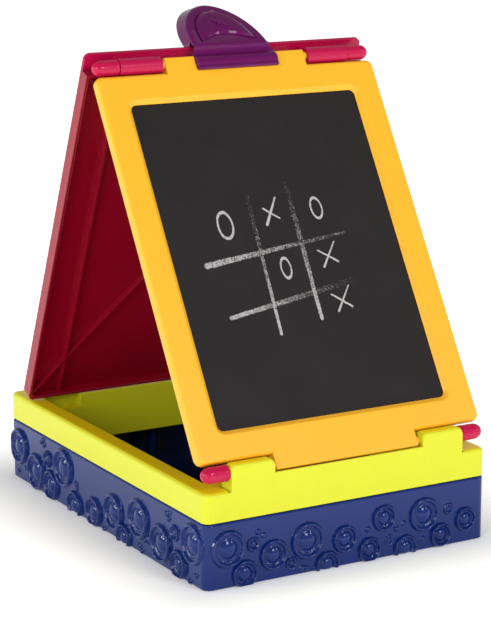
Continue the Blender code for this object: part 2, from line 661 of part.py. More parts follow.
def rear_frame(mat, parent):
    half = WIDTH / 2
    outline = rounded_rect(half, -REAR_TOP, REAR_LENGTH, 6 * MM)
    obj = add_object("rear_frame", prism(outline, PLATE_Z, REAR_T), mat, parent, level=AXIS_DEPTH)
    wall = 3.2 * MM
    low = PLATE_Z + 0.5 * MM
    parts = [box(-half + 6 * MM, half - 6 * MM, REAR_LENGTH - wall, REAR_LENGTH - 0.01 * MM, GAP, low),
             box(-half + MM, half - MM, FIRST_WALL, FIRST_WALL + wall, GAP, low)]
    for sign in (-1, 1):
        parts.append(box(*sorted((sign * (half - wall), sign * (half - 0.01 * MM))), FIRST_WALL,
                         REAR_LENGTH - 6 * MM, GAP, low))
        corner = [(sign * (half - 6 * MM), REAR_LENGTH - 6 * MM)]
        arc = circle(sign * (half - 6 * MM), REAR_LENGTH - 6 * MM, 5.99 * MM, 5,
                     0.0 if sign > 0 else math.pi, sign * math.pi / 2)
        parts.append(prism(corner + arc, GAP, low))
        parts.append(box(*sorted((sign * (RIB_X - RIB_T / 2), sign * (RIB_X + RIB_T / 2))), FIRST_WALL + MM,
                         REAR_LENGTH - MM, RIB_Z, low))
        parts.append(diagonal(sign))
        lug = [(REAR_LUG_R, low), (-REAR_TOP + MM, low)]
        lug += circle(0, -AXIS_DEPTH, REAR_LUG_R, 13, -math.pi, math.pi)
        parts.append(bar(lug, *sorted((sign * LUG_X[0], sign * LUG_X[1]))))
    join(obj, *parts)
    cutters = [box(-SHEET_X - GAP, SHEET_X + GAP, SHEET_Y[0] - GAP, SHEET_Y[1] + GAP, REAR_T - SHEET_T - GAP,
                   REAR_T + MM)]
    for sign in (-1, 1):
        cutters.append(moved(turned([(sign * (LUG_X[0] - MM), 0), (sign * (LUG_X[0] - MM), BORE_R),
                                     (sign * (LUG_X[1] + MM), BORE_R), (sign * (LUG_X[1] + MM), 0)]),
                             0, 0, -AXIS_DEPTH))
    cut(obj, *cutters)
    return obj


def whiteboard(mat, parent):
    outline = rounded_rect(SHEET_X, *SHEET_Y, 0.5 * MM, 1)
    sheet = prism(outline, REAR_T - SHEET_T, REAR_T - 0.1 * MM)
    return add_object("whiteboard", sheet, mat, parent, level=AXIS_DEPTH)


def main():
    clear_scene()
    blue = material("blue_plastic", (0.03, 0.06, 0.26), 0.3)
    yellow = material("yellow_plastic", (0.84, 0.86, 0.06), 0.35)
    orange = material("orange_plastic", (1.0, 0.53, 0.07), 0.35)
    crimson = material("crimson_plastic", (0.5, 0.01, 0.07), 0.35)
    pink = material("pin_plastic", (0.55, 0.005, 0.09), 0.25)
    purple = material("purple_plastic", (0.11, 0.01, 0.1), 0.25)
    slate = material("chalkboard_coating", (0.025, 0.022, 0.024), 0.8)
    white = material("dry_erase_coating", (0.85, 0.86, 0.86), 0.15)
    steel = material("steel", (0.6, 0.6, 0.6), 0.3, 1.0)

    base_shell(blue)
    storage_collar(yellow)
    collar_screws(steel)
    front_axis = empty("front_hinge_axis", (0, HINGE_Y, HINGE_Z), 0)
    front = empty("front_panel_axis", (0, HINGE_Y, HINGE_Z), LEAN)
    rear = empty("rear_panel_axis", (0, TOP_Y, TOP_Z), REAR_LEAN - math.pi / 2)
    clip = empty("clip_axis", (0, PANEL_LENGTH - AXLE_DROP, AXLE_Z - AXIS_DEPTH), 0, front)
    for side, sign in (("left", -1), ("right", 1)):
        hinge_pin(f"lower_pin_{side}", sign, pink, front_axis)
        hinge_pin(f"upper_pin_{side}", sign, pink, rear)
    front_frame(orange, front)
    chalkboard(slate, front)
    retainer_screws(steel, front)
    clip_lever(purple, clip)
    clip_axle(steel, clip)
    clip_spring(steel, clip)
    rear_frame(crimson, rear)
    whiteboard(white, rear)


main()
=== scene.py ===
"""Looks of the kids' tabletop easel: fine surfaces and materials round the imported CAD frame.

World frame in metres: X to the right along the front, Y from front to back, Z up.
Front panel frame: x across, y up the panel from the front hinge, z out of the board.
Rear panel frame: x across, y down the panel from the top hinge, z out of the outer face.
Clip frame: the front panel's axes, with the origin on the clip's axle.
"""
import json
import math

import bmesh
import bpy
import numpy as np
from mathutils import Matrix, Vector


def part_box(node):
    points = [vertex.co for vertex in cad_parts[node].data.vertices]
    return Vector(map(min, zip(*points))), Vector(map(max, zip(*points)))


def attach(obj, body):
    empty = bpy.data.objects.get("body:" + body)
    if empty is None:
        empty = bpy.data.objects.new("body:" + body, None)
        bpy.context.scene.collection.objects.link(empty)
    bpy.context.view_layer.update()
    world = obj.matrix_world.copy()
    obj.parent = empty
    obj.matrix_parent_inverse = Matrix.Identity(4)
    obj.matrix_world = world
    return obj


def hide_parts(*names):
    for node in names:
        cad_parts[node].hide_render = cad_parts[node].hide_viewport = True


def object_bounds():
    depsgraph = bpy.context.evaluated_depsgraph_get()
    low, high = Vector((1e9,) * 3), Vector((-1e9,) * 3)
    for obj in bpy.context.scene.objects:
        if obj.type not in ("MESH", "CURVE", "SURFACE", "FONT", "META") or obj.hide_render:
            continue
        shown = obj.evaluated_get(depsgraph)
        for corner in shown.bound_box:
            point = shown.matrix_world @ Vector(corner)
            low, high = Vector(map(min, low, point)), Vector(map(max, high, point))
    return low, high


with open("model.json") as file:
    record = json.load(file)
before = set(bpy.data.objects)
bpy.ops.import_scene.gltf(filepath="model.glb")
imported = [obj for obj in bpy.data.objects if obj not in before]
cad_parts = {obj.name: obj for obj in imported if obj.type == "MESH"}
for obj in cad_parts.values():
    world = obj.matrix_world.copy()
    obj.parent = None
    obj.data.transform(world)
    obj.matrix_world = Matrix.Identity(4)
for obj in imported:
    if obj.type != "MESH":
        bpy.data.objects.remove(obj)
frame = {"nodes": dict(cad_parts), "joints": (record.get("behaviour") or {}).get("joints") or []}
CAD_BOX = [list(corner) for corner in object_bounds()]
JOINTS = {joint["name"]: joint for joint in frame["joints"]}

MM = 0.001
GAP = 0.3 * MM

# Base
COLLAR_LOW, COLLAR_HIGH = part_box("storage_collar")
HALF_WIDTH = COLLAR_HIGH.x
FRONT = COLLAR_LOW.y
BACK = COLLAR_HIGH.y
SHELL_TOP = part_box("base_shell")[1].z
CORNER_R = 8 * MM
WALL = 3 * MM
RIM_TOP = 90 * MM
RIM_EDGE_R = 4 * MM
RIM_INNER_R = 1.6 * MM
LIP_TOP = 101 * MM
LIP_T = 2.2 * MM
OPENING_X = 134 * MM
OPENING_FRONT = FRONT + 34 * MM
OPENING_BACK = FRONT + 374 * MM
OPENING_R = 3 * MM
SKIRT_BOTTOM = 40 * MM
POCKET_X = 93 * MM
POCKET_DEPTH = 10 * MM
POCKET_BOTTOM = 76 * MM
RELIEF = 3.5 * MM
GRID = 0.7 * MM

SCREW_SPOTS = [(x, y) for x in (-142.2 * MM, 142.2 * MM) for y in (-148 * MM, 0, 148 * MM)]
SCREW_SPOTS += [(0, FRONT + 21 * MM), (0, FRONT + 396 * MM)]
TOWER_R = 5 * MM
SCREW_SEAT = 50 * MM
BORE_WIDE = 3.7 * MM
BORE_NARROW = 1.8 * MM

# Hinges
LUG_X = (80 * MM, 125 * MM)
LUG_R = 8.8 * MM
LUG_CORNER_R = 5 * MM
LUG_EDGE_R = 3 * MM
REAR_LUG_R = 8.2 * MM
PIN_HEAD_R = 7.7 * MM
PIN_HEAD_END = 151 * MM
PIN_NOSE = 9 * MM
PIN_R = 3.0 * MM
BORE_R = 3.3 * MM
PIN_DEPTH = 8 * MM
SLIT = 2 * MM
AXIS_DEPTH = 4.9 * MM

# Front panel
PANEL_T = 9.5 * MM
BARREL_R = 5.6 * MM
TAB_X = LUG_X[0] - 3.5 * MM
TAB_BOSS_R = 4.3 * MM
TAB_BOSS_END = LUG_X[0] - 0.5 * MM
NOTCH = 9.6 * MM
BOARD_X = 123 * MM
BOARD_Y = (37.5 * MM, 358 * MM)
BOARD_R = 6 * MM
BOARD_LIP = 4 * MM
BOARD_T = 2.4 * MM
BEZEL = 4.2 * MM
BEVEL_WIDTH = 4.5 * MM
BOARD_TOP = PANEL_T - BEZEL - GAP
LEDGE_Z = BOARD_TOP - BOARD_T

# Rear panel
REAR_T = 14 * MM
REAR_TOP = 7 * MM
PLATE_Z = 10.5 * MM
RIB_Z = 4 * MM
RIB_T = 2.6 * MM
RIB_X = 116 * MM
FIRST_WALL = 10 * MM
REAR_WALL = 3.2 * MM
SHEET_X = 128 * MM
SHEET_Y = (30 * MM, 366 * MM)
SHEET_T = 1.5 * MM

# Paper clip
CLIP_X = 44 * MM
AXLE_DROP = 2 * MM
AXLE_Z = 4.6 * MM
AXLE_R = 1.4 * MM
CLIP_BARREL_R = 4.4 * MM
RIDGE = (16.8 * MM, 6.6 * MM)
TAB_HALF = 40.2 * MM
TAB_LENGTH = 65 * MM
TAB_TILT = math.radians(28.4)
TAB_DRAW = Vector((0, 0.3165, -0.9486))
TAB_DEPTH = 21.9 * MM
RAIL_INNER = Vector((0, 18.6 * MM, -2.9 * MM))  # top corners of the rear panel's rail at rest
RAIL_OUTER = Vector((0, 21.5 * MM, -4.9 * MM))
RAIL_UP = Vector((0, 0.578, 0.816))  # up the rear panel, and out of its face
RAIL_OUT = Vector((0, 0.816, -0.578))
RAIL_ROOM = 4.5 * MM  # room above the rail and on its inner side
RAIL_GAP = 0.8 * MM  # room on its outer side

# Raised rings on the base: (along the wall, height, radius) in millimetres.
# Along the front they are measured from its middle, along a side from the front corner.
FRONT_RINGS = [(-129, 37, 17.3), (-112, 11, 13), (-103, 37, 6.7), (-82, 24, 14.4), (-63, 12, 6.2),
               (-46, 31, 17.3), (-25, 5, 12.5), (-6, 26, 13), (21, 11, 12), (37, 39, 12.5),
               (43, 16, 5.4), (61, 6, 12.5), (82, 35, 16.3), (110, 36, 5.8), (101, 12, 11.5),
               (129, 23, 11.5)]
FRONT_DOTS = [(-98, 48), (-92, 44), (-52, 6), (-47, 5), (19, 31), (51, 26), (59, 30), (81, 11)]
SIDE_RINGS = [(399, 36, 18.9), (358, 19, 19.2), (329, 40, 8.5), (293, 40, 19.9), (322, 14, 15.8),
              (267, 8, 14.6), (224, 13, 15.4), (181, 25, 18.3), (129, 33, 19.6), (159, 6, 13.1),
              (112, 18, 6), (84, 22, 18.8), (56, 40, 7.9), (23, 39, 19.4), (49, 12, 13.7)]
SIDE_DOTS = [(344, 54), (338, 52), (340, 57), (402, 9), (384, 16), (264, 31), (262, 27), (202, 2),
             (73, 54), (68, 50), (67, 56), (127, 7), (122, 3), (16, 11), (28, 2)]
DOT_R = 2.7 * MM
RIGHT_SCALE = 0.98  # the right-hand wall's relief is the left one's, drawn in and moved back
RIGHT_SHIFT = 8 * MM

# Chalk drawing on the board, in millimetres across and up the front panel:
# (start, end, width at the start, width at the end, pressure at the start and at the end)
CHALK_LINES = [
    ((-88, 194), (66, 212), 6.4, 3.0, 0.88, 0.45),
    ((-78, 141.5), (60, 163.5), 4.2, 6.4, 0.95, 0.26),
    ((-31.5, 120), (-27, 262), 3.2, 4.8, 1.0, 0.26),
    ((15.5, 130), (18, 272), 4.0, 6.2, 0.95, 0.24),
    ((-14, 228), (2, 254), 3.0, 1.8, 1.15, 1.0),
    ((-14, 244), (1, 233), 1.9, 1.8, 1.15, 1.0),
    ((34, 180), (52, 204), 2.2, 1.3, 1.15, 1.0),
    ((32, 197), (51, 184), 1.8, 2.1, 1.15, 1.1),
    ((36, 135), (54, 159), 2.2, 1.3, 1.15, 1.0),
    ((33, 152), (52, 138), 1.8, 2.2, 1.15, 1.1),
]
# (middle, half width, half height, line width)
CHALK_RINGS = [
    ((-58.3, 231.5), 7.6, 13.0, 2.0),
    ((43.5, 239.5), 6.0, 10.5, 1.7),
    ((-7.1, 183.2), 5.2, 9.8, 1.7),
]

FAN = 48  # sides of a circle
FINE = 12  # steps round a corner


# Mesh tools --------------------------------------

def arc(cx, cy, radius, start, sweep, steps):
    """Points on an arc, both ends included; angles in degrees."""
    angles = [math.radians(start + sweep * i / steps) for i in range(steps + 1)]
    return [(cx + radius * math.cos(a), cy + radius * math.sin(a)) for a in angles]


def circle(cx, cy, radius, count=FAN):
    return arc(cx, cy, radius, 0, 360, count)[:-1]


def rounded_rect(half_x, y0, y1, radius, steps=FINE):
    """Corner points of a rectangle with round corners, counter-clockwise from the lower right."""
    points = arc(half_x - radius, y0 + radius, radius, -90, 90, steps)
    points += arc(half_x - radius, y1 - radius, radius, 0, 90, steps)
    points += arc(radius - half_x, y1 - radius, radius, 90, 90, steps)
    return points + arc(radius - half_x, y0 + radius, radius, 180, 90, steps)


def at_level(points, z):
    return [(x, y, z) for x, y in points]


def quarter_round(radius, steps):
    """Insets (across, down) along a rounded edge, from its upright end to its level end."""
    angles = [math.pi / 2 * i / steps for i in range(steps + 1)]
    return [(radius * (1 - math.cos(a)), radius * (1 - math.sin(a))) for a in angles]


def span(sign, near, far):
    """Stretch of x between two distances from the middle, on the side of the sign."""
    return sorted((sign * near, sign * far))


def add_bands(bm, rings, closed=False):
    """Quads between neighbouring loops of vertices of equal length."""
    pairs = list(zip(rings, rings[1:]))
    if closed:
        pairs.append((rings[-1], rings[0]))
    for low, high in pairs:
        for i in range(len(low)):
            j = (i + 1) % len(low)
            bm.faces.new((low[i], low[j], high[j], high[i]))


def loft(loops):
    """Closed solid through loops of 3-D points, capped at both ends."""
    bm = bmesh.new()
    rings = [[bm.verts.new(point) for point in loop] for loop in loops]
    add_bands(bm, rings)
    bm.faces.new(list(reversed(rings[0])))
    bm.faces.new(rings[-1])
    return bm


def prism(points, z0, z1):
    return loft([at_level(points, z0), at_level(points, z1)])


def bar(profile, x0, x1):
    """Extrusion along x of an outline given as (y, z) points."""
    return loft([[(x, y, z) for y, z in profile] for x in (x0, x1)])


def box(x0, x1, y0, y1, z0, z1):
    return prism([(x0, y0), (x1, y0), (x1, y1), (x0, y1)], z0, z1)


def turned(profile, count=FAN):
    """Solid of revolution about x from (x, radius) points; zero radii close the ends."""
    bm = bmesh.new()
    rings = []
    for x, radius in profile:
        if radius == 0:
            rings.append([bm.verts.new((x, 0, 0))])
        else:
            rings.append([bm.verts.new((x, y, z)) for y, z in circle(0, 0, radius, count)])
    for low, high in zip(rings, rings[1:]):
        for i in range(count):
            j = (i + 1) % count
            corners = [low[i % len(low)], low[j % len(low)], high[j % len(high)], high[i % len(high)]]
            bm.faces.new(list(dict.fromkeys(corners)))
    return bm


def rod(x0, x1, radius, count=FAN):
    """Cylinder along x."""
    return turned([(x0, 0), (x0, radius), (x1, radius), (x1, 0)], count)


def moved(bm, x=0.0, y=0.0, z=0.0):
    bmesh.ops.translate(bm, verts=bm.verts, vec=Vector((x, y, z)))
    return bm


def along_z(bm):
    """Turn a solid of revolution about x so that it stands along z."""
    bmesh.ops.rotate(bm, verts=bm.verts, cent=(0, 0, 0), matrix=Matrix.Rotation(-math.pi / 2, 3, "Y"))
    return bm


def bevelled(bm, edges, width, segments):
    bmesh.ops.bevel(bm, geom=edges, offset=width, segments=segments, profile=0.5, affect="EDGES",
                    clamp_overlap=True)
    return bm


def rounded(bm, axis, value, width, segments=3):
    """Round the edges that lie in the plane where the coordinate has this value."""
    edges = [edge for edge in bm.edges if all(abs(v.co[axis] - value) < 1e-6 for v in edge.verts)]
    return bevelled(bm, edges, width, segments)


def softened(bm, width, segments=2, angle=30):
    """Round every convex edge sharper than the angle."""
    bmesh.ops.recalc_face_normals(bm, faces=bm.faces)
    edges = [edge for edge in bm.edges if edge.is_manifold and edge.calc_face_angle() > math.radians(angle)]
    return bevelled(bm, edges, width, segments)


def tunnel(sign, x0, x1, y, z, radius=BORE_R):
    """Cutter for a bore along x."""
    return moved(rod(sign * x0, sign * x1, radius), 0, y, z)


def new_object(name, data):
    obj = bpy.data.objects.new(name, data)
    bpy.context.scene.collection.objects.link(obj)
    return obj


def mesh_object(name, bm):
    bmesh.ops.recalc_face_normals(bm, faces=bm.faces)
    mesh = bpy.data.meshes.new(name)
    bm.to_mesh(mesh)
    bm.free()
    return new_object(name, mesh)


def apply_boolean(obj, bodies, operation):
    """Bake the union with, or the cut by, some bodies into the object's mesh."""
    group = bpy.data.collections.new("bodies")
    bpy.context.scene.collection.children.link(group)
    helpers = [mesh_object("helper", bm) for bm in bodies]
    for helper in helpers:
        group.objects.link(helper)
    modifier = obj.modifiers.new("Boolean", "BOOLEAN")
    modifier.operation = operation
    modifier.operand_type = "COLLECTION"
    modifier.collection = group
    modifier.solver = "EXACT"
    bpy.context.view_layer.update()
    graph = bpy.context.evaluated_depsgraph_get()
    mesh = bpy.data.meshes.new_from_object(obj.evaluated_get(graph))
    obj.modifiers.clear()
    obj.data = mesh
    for helper in helpers:
        bpy.data.objects.remove(helper, do_unlink=True)
    bpy.data.collections.remove(group)


def solid(name, body, add=(), cut=()):
    """One piece from a body, the bodies that join it and the bodies that cut it."""
    obj = mesh_object(name, body)
    if add:
        apply_boolean(obj, add, "UNION")
    if cut:
        apply_boolean(obj, cut, "DIFFERENCE")
    return obj


def place(obj, matrix, body, material, node, sharp=30):
    """Finish a piece: its frame, shading, material, the body it rides on and the node it stands for."""
    obj.data.materials.clear()
    obj.data.materials.append(material)
    obj.data.shade_smooth()
    obj.data.set_sharp_from_angle(angle=math.radians(sharp))
    normals = obj.modifiers.new("Normals", "WEIGHTED_NORMAL")
    normals.keep_sharp = True
    obj.matrix_world = matrix
    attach(obj, body)
    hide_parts(node)
    return obj


# Frames ------------------------------------------

def joint_point(name):
    return Vector(JOINTS[name]["pos_m"])


def panel_frame(origin, along):
    """Frame with x across, y along the panel and z out of its face."""
    across = Vector((1, 0, 0))
    out = across.cross(along)
    return Matrix.Translation(origin) @ Matrix((across, along, out)).transposed().to_4x4()


def panel_frames():
    hinge, top = joint_point("front_hinge"), joint_point("top_hinge")
    up = (top - hinge).normalized()
    fold = math.radians(-min(JOINTS["top_hinge"]["range_deg"]))
    down = Matrix.Rotation(fold, 3, "X") @ -up
    front = panel_frame(hinge, up) @ Matrix.Translation((0, 0, -AXIS_DEPTH))
    rear = panel_frame(top, down) @ Matrix.Translation((0, 0, AXIS_DEPTH))
    return front, rear, panel_frame(joint_point("clip_hinge"), up)


FRONT_FRAME, REAR_FRAME, CLIP_FRAME = panel_frames()
HINGE = joint_point("front_hinge")
PANEL_LENGTH = (joint_point("top_hinge") - HINGE).length
REAR_LENGTH = PANEL_LENGTH - 8 * MM


# Materials ---------------------------------------

class Nodes:
    """Short way to add and link shader nodes."""

    def __init__(self, name):
        self.material = bpy.data.materials.new(name)
        self.material.use_nodes = True
        self.tree = self.material.node_tree
        self.shader = self.tree.nodes["Principled BSDF"]
        self.coords = self.add("ShaderNodeTexCoord").outputs["Object"]

    def add(self, kind, *values, **settings):
        """New node with these settings, its first inputs filled with the values."""
        node = self.tree.nodes.new(kind)
        for key, value in settings.items():
            setattr(node, key, value)
        for socket, value in zip(node.inputs, values):
            self.put(socket, value)
        return node

    def put(self, socket, value):
        """Link an output to the socket, or set a constant on it."""
        if isinstance(value, bpy.types.NodeSocket):
            self.tree.links.new(value, socket)
        else:
            socket.default_value = value

    def fill(self, node, **values):
        """Fill inputs by name, with underscores for spaces."""
        for name, value in values.items():
            self.put(node.inputs[name.replace("_", " ")], value)
        return node

    def math(self, operation, *values, clamp=False):
        return self.add("ShaderNodeMath", *values, operation=operation, use_clamp=clamp).outputs[0]

    def vector(self, operation, *values):
        node = self.add("ShaderNodeVectorMath", *values, operation=operation)
        return node.outputs["Value" if operation in ("LENGTH", "DOT_PRODUCT") else "Vector"]

    def part(self, vector, axis):
        """One component of a vector."""
        return self.add("ShaderNodeSeparateXYZ", vector).outputs[axis]

    def noise(self, size, detail=2.0, roughness=0.5, distortion=0.0, vector=None):
        """Noise with features of about this size in metres."""
        node = self.fill(self.add("ShaderNodeTexNoise"), Vector=vector or self.coords, Scale=1 / size,
                         Detail=detail, Roughness=roughness, Distortion=distortion)
        return node.outputs["Fac"]

    def spread(self, value, low, high, new_low, new_high):
        """Map the range from low to high on to the new one, and hold the ends."""
        return self.add("ShaderNodeMapRange", value, low, high, new_low, new_high).outputs["Result"]

    def mix(self, factor, first, second):
        node = self.add("ShaderNodeMix", data_type="RGBA")
        for socket, value in zip((node.inputs[0], node.inputs[6], node.inputs[7]), (factor, first, second)):
            self.put(socket, value)
        return node.outputs[2]

    def bump(self, height, strength, distance, normal=None):
        node = self.fill(self.add("ShaderNodeBump"), Height=height, Strength=strength, Distance=distance)
        if normal:
            self.fill(node, Normal=normal)
        return node.outputs["Normal"]

    def finish(self, **values):
        self.fill(self.shader, **values)
        return self.material


def shade(colour, factor):
    return tuple(min(channel * factor, 1.0) for channel in colour) + (1.0,)


def scratches(make, size, stretch):
    """Thin hairline marks: noise stretched along one direction, kept only at its peaks."""
    stretched = make.fill(make.add("ShaderNodeMapping"), Vector=make.coords, Rotation=(0.5, 0.3, 0.7),
                          Scale=(1, stretch, stretch))
    marks = make.noise(size, 4, 0.6, vector=stretched.outputs["Vector"])
    return make.spread(marks, 0.66, 0.74, 0.0, 1.0)


def plastic(name, colour, roughness, speck, grain, shine, worn=0.0, painted_hollow_shade=0.0, painted_top_reflection=None,
            hinge_painted_light=None):
    """Moulded plastic: cloudy pigment, satin grain, flow waves and hairline marks.

    Worn lightens the edges. The rest is painted light and shade: the hollow shade darkens the hollows,
    the top reflection paints warm reflected light and shade on what faces up, and the hinge light paints a
    lighter, lit colour on the inner end of the rear panel next to its hinge.
    """
    make = Nodes(name)
    clouds = make.noise(45 * MM, 3, 0.55)
    pigment = make.noise(4 * MM, 3, 0.6)
    blend = make.math("ADD", make.math("MULTIPLY", clouds, 0.7), make.math("MULTIPLY", pigment, 0.3))
    cloudy = make.spread(blend, 0.35, 0.65, 0.0, 1.0)
    tone = make.mix(cloudy, shade(colour, 1 - speck), shade(colour, 1 + speck))
    if worn or painted_hollow_shade:
        edges = make.add("ShaderNodeNewGeometry").outputs["Pointiness"]
        raised = make.spread(edges, 0.52, 0.60, 0.0, worn)
        tone = make.mix(raised, tone, shade([c * 0.6 + 0.12 for c in colour], 1))
        # Painted shade: the hollows, where shade falls, are darkened towards a dark copy of the colour.
        hollow_shade_mask = make.spread(edges, 0.40, 0.49, painted_hollow_shade, 0.0)
        tone = make.mix(hollow_shade_mask, tone, shade(colour, 0.15))
    if hinge_painted_light:
        # Painted light: a lighter, lit crimson on the lugs and top edge next to the rear panel's hinge,
        # apart from its outer face.
        near_hinge = make.spread(make.part(make.coords, "Y"), 8.5 * MM, 11 * MM, 1.0, 0.0)
        height = make.part(make.coords, "Z")
        inside = make.spread(height, REAR_T - 1.6 * MM, REAR_T - 0.2 * MM, 1.0, 0.0)
        tone = make.mix(make.math("MULTIPLY", near_hinge, inside), tone, shade(hinge_painted_light, 1))
    if painted_top_reflection:
        # Painted shade and reflected light: faces that look up turn a warm orange-gold, in place of the
        # panels' shade and the orange panel's reflected light.
        facing = make.part(make.add("ShaderNodeTexCoord").outputs["Normal"], "Z")
        tone = make.mix(make.spread(facing, 0.75, 1.0, 0.0, 0.85), tone, shade(painted_top_reflection, 1))
    hairs = scratches(make, 9 * MM, 26)
    fine = make.noise(0.7 * MM, 3, 0.6)
    dull = make.spread(fine, 0.3, 0.7, roughness - 0.04, roughness + 0.06)
    dull = make.math("ADD", dull, make.math("MULTIPLY", hairs, 0.10))
    waves = make.bump(clouds, 0.25, 0.5 * MM)
    normal = make.bump(fine, grain, 0.05 * MM, waves)
    return make.finish(Base_Color=tone, Roughness=dull, Normal=normal, Specular_IOR_Level=shine)


def segment_distance(make, point, start, end):
    """Distance from a shader point to a straight stroke, and how far along the stroke it is."""
    run = Vector((end[0] - start[0], end[1] - start[1], 0)) * MM
    offset = make.vector("SUBTRACT", point, (start[0] * MM, start[1] * MM, 0))
    dot = make.vector("DOT_PRODUCT", offset, tuple(run))
    along = make.math("MULTIPLY", dot, 1 / run.length_squared, clamp=True)
    rest = make.vector("SUBTRACT", offset, make.vector("MULTIPLY", tuple(run), along))
    return make.vector("LENGTH", rest), along


def chalk_strokes(make, point):
    """How much chalk the noughts and crosses lay down at a shader point."""
    def line(distance, half):
        """1 within the half width, falling to 0 a little beyond it."""
        inside = make.math("SUBTRACT", 1.25, make.math("DIVIDE", distance, half))
        return make.math("MULTIPLY", inside, 2.2, clamp=True)

    total = 0.0
    for start, end, wide, thin, strong, faint in CHALK_LINES:
        distance, along = segment_distance(make, point, start, end)
        half = make.spread(along, 0.0, 1.0, wide * MM / 2, thin * MM / 2)
        press = make.spread(along, 0.0, 1.0, strong, faint)
        total = make.math("MAXIMUM", total, make.math("MULTIPLY", line(distance, half), press))
    for (cx, cy), half_x, half_y, width in CHALK_RINGS:
        offset = make.vector("SUBTRACT", point, (cx * MM, cy * MM, 0))
        unit = make.vector("MULTIPLY", offset, (1 / (half_x * MM), 1 / (half_y * MM), 0))
        length = make.vector("LENGTH", unit)
        distance = make.math("ABSOLUTE", make.math("SUBTRACT", length, 1.0))
        total = make.math("MAXIMUM", total, line(distance, width / 2 / half_x))
    return total


def chalkboard_paint():
    """Matt slate paint with wiped chalk dust, and the chalk drawing in broken grains."""
    make = Nodes("chalkboard_paint")
    flat = make.vector("MULTIPLY", make.coords, (1, 1, 0))
    wobble = make.math("SUBTRACT", make.noise(14 * MM, 2, 0.5), 0.5)
    shift = make.vector("MULTIPLY", (1.2 * MM, 1.2 * MM, 0), wobble)
    strokes = chalk_strokes(make, make.vector("ADD", flat, shift))
    grain = make.noise(1.1 * MM, 4, 0.75)
    patches = make.noise(5 * MM, 2, 0.5)
    rubbed = make.math("ADD", make.math("MULTIPLY", grain, 2.6), make.math("MULTIPLY", patches, 0.3))
    covered = make.spread(make.math("ADD", strokes, rubbed), 1.95, 2.40, 0.0, 1.0)
    chalk = make.math("MULTIPLY", covered, make.spread(strokes, 0.0, 0.15, 0.0, 1.0))
    height = make.part(make.coords, "Z")
    in_front = make.spread(height, BOARD_TOP - 0.4 * MM, BOARD_TOP - 0.2 * MM, 0.0, 1.0)
    chalk = make.math("MULTIPLY", chalk, in_front)
    smears = make.noise(70 * MM, 4, 0.6, 0.6)
    tooth = make.noise(1.4 * MM, 4, 0.7)
    dust = make.math("MULTIPLY", make.spread(smears, 0.35, 0.75, 0.0, 1.0),
                     make.spread(tooth, 0.3, 0.7, 0.3, 1.0))
    slate = make.mix(make.math("MULTIPLY", dust, 0.35), (0.008, 0.006, 0.0065, 1), (0.028, 0.024, 0.025, 1))
    colour = make.mix(make.math("MULTIPLY", chalk, 0.92), slate, (0.50, 0.49, 0.48, 1))
    rough = make.spread(chalk, 0.0, 1.0, 0.62, 0.95)
    paint = make.bump(tooth, 0.35, 0.08 * MM)
    normal = make.bump(chalk, 0.5, 0.15 * MM, paint)
    return make.finish(Base_Color=colour, Roughness=rough, Normal=normal, Specular_IOR_Level=0.25)


def dry_erase():
    """Glossy white coating with faint wipe marks."""
    make = Nodes("dry_erase_coating")
    haze = make.noise(60 * MM, 4, 0.6, 0.8)
    tone = make.mix(make.spread(haze, 0.35, 0.7, 0.0, 1.0), (0.80, 0.81, 0.82, 1), (0.86, 0.86, 0.85, 1))
    hairs = scratches(make, 12 * MM, 30)
    rough = make.math("ADD", make.spread(haze, 0.3, 0.7, 0.10, 0.16), make.math("MULTIPLY", hairs, 0.12))
    ripple = make.bump(make.noise(3 * MM, 2), 0.08, 0.05 * MM)
    return make.finish(Base_Color=tone, Roughness=rough, Normal=ripple)


def plated_steel():
    make = Nodes("plated_steel")
    stain = make.noise(3 * MM, 4, 0.6)
    tone = make.mix(make.spread(stain, 0.3, 0.7, 0.0, 1.0), (0.50, 0.51, 0.52, 1), (0.66, 0.66, 0.65, 1))
    rough = make.spread(make.noise(0.5 * MM, 3), 0.3, 0.7, 0.22, 0.38)
    return make.finish(Base_Color=tone, Roughness=rough, Metallic=1.0,
                       Normal=make.bump(make.noise(0.3 * MM, 2), 0.15, 0.02 * MM))


PLASTICS = {
    "blue": dict(colour=(0.0015, 0.018, 0.138), roughness=0.06, speck=0.06, grain=0.02, shine=0.34,
                 worn=0.06, painted_hollow_shade=0.45),
    "yellow": dict(colour=(0.66, 0.68, 0.014), roughness=0.34, speck=0.015, grain=0.15, shine=0.4,
                   painted_top_reflection=(0.96, 0.72, 0.002)),
    "orange": dict(colour=(0.92, 0.45, 0.018), roughness=0.30, speck=0.015, grain=0.15, shine=0.4),
    "crimson": dict(colour=(0.29, 0.001, 0.016), roughness=0.22, speck=0.05, grain=0.04, shine=0.3,
                    worn=0.1, hinge_painted_light=(0.47, 0.003, 0.060)),
    "pin": dict(colour=(0.50, 0.003, 0.060), roughness=0.15, speck=0.04, grain=0.06, shine=0.3),
    "purple": dict(colour=(0.120, 0.003, 0.088), roughness=0.12, speck=0.06, grain=0.03, shine=0.2,
                   worn=0.1, painted_hollow_shade=0.5),
}


def make_materials():
    paint = {name: plastic(f"{name}_plastic", **look) for name, look in PLASTICS.items()}
    return paint | {"slate": chalkboard_paint(), "white": dry_erase(), "steel": plated_steel()}


# Base --------------------------------------------

def footprint(inset, steps=FINE):
    radius = max(CORNER_R - inset, 0.5 * MM)
    return rounded_rect(HALF_WIDTH - inset, FRONT + inset, BACK - inset, radius, steps)


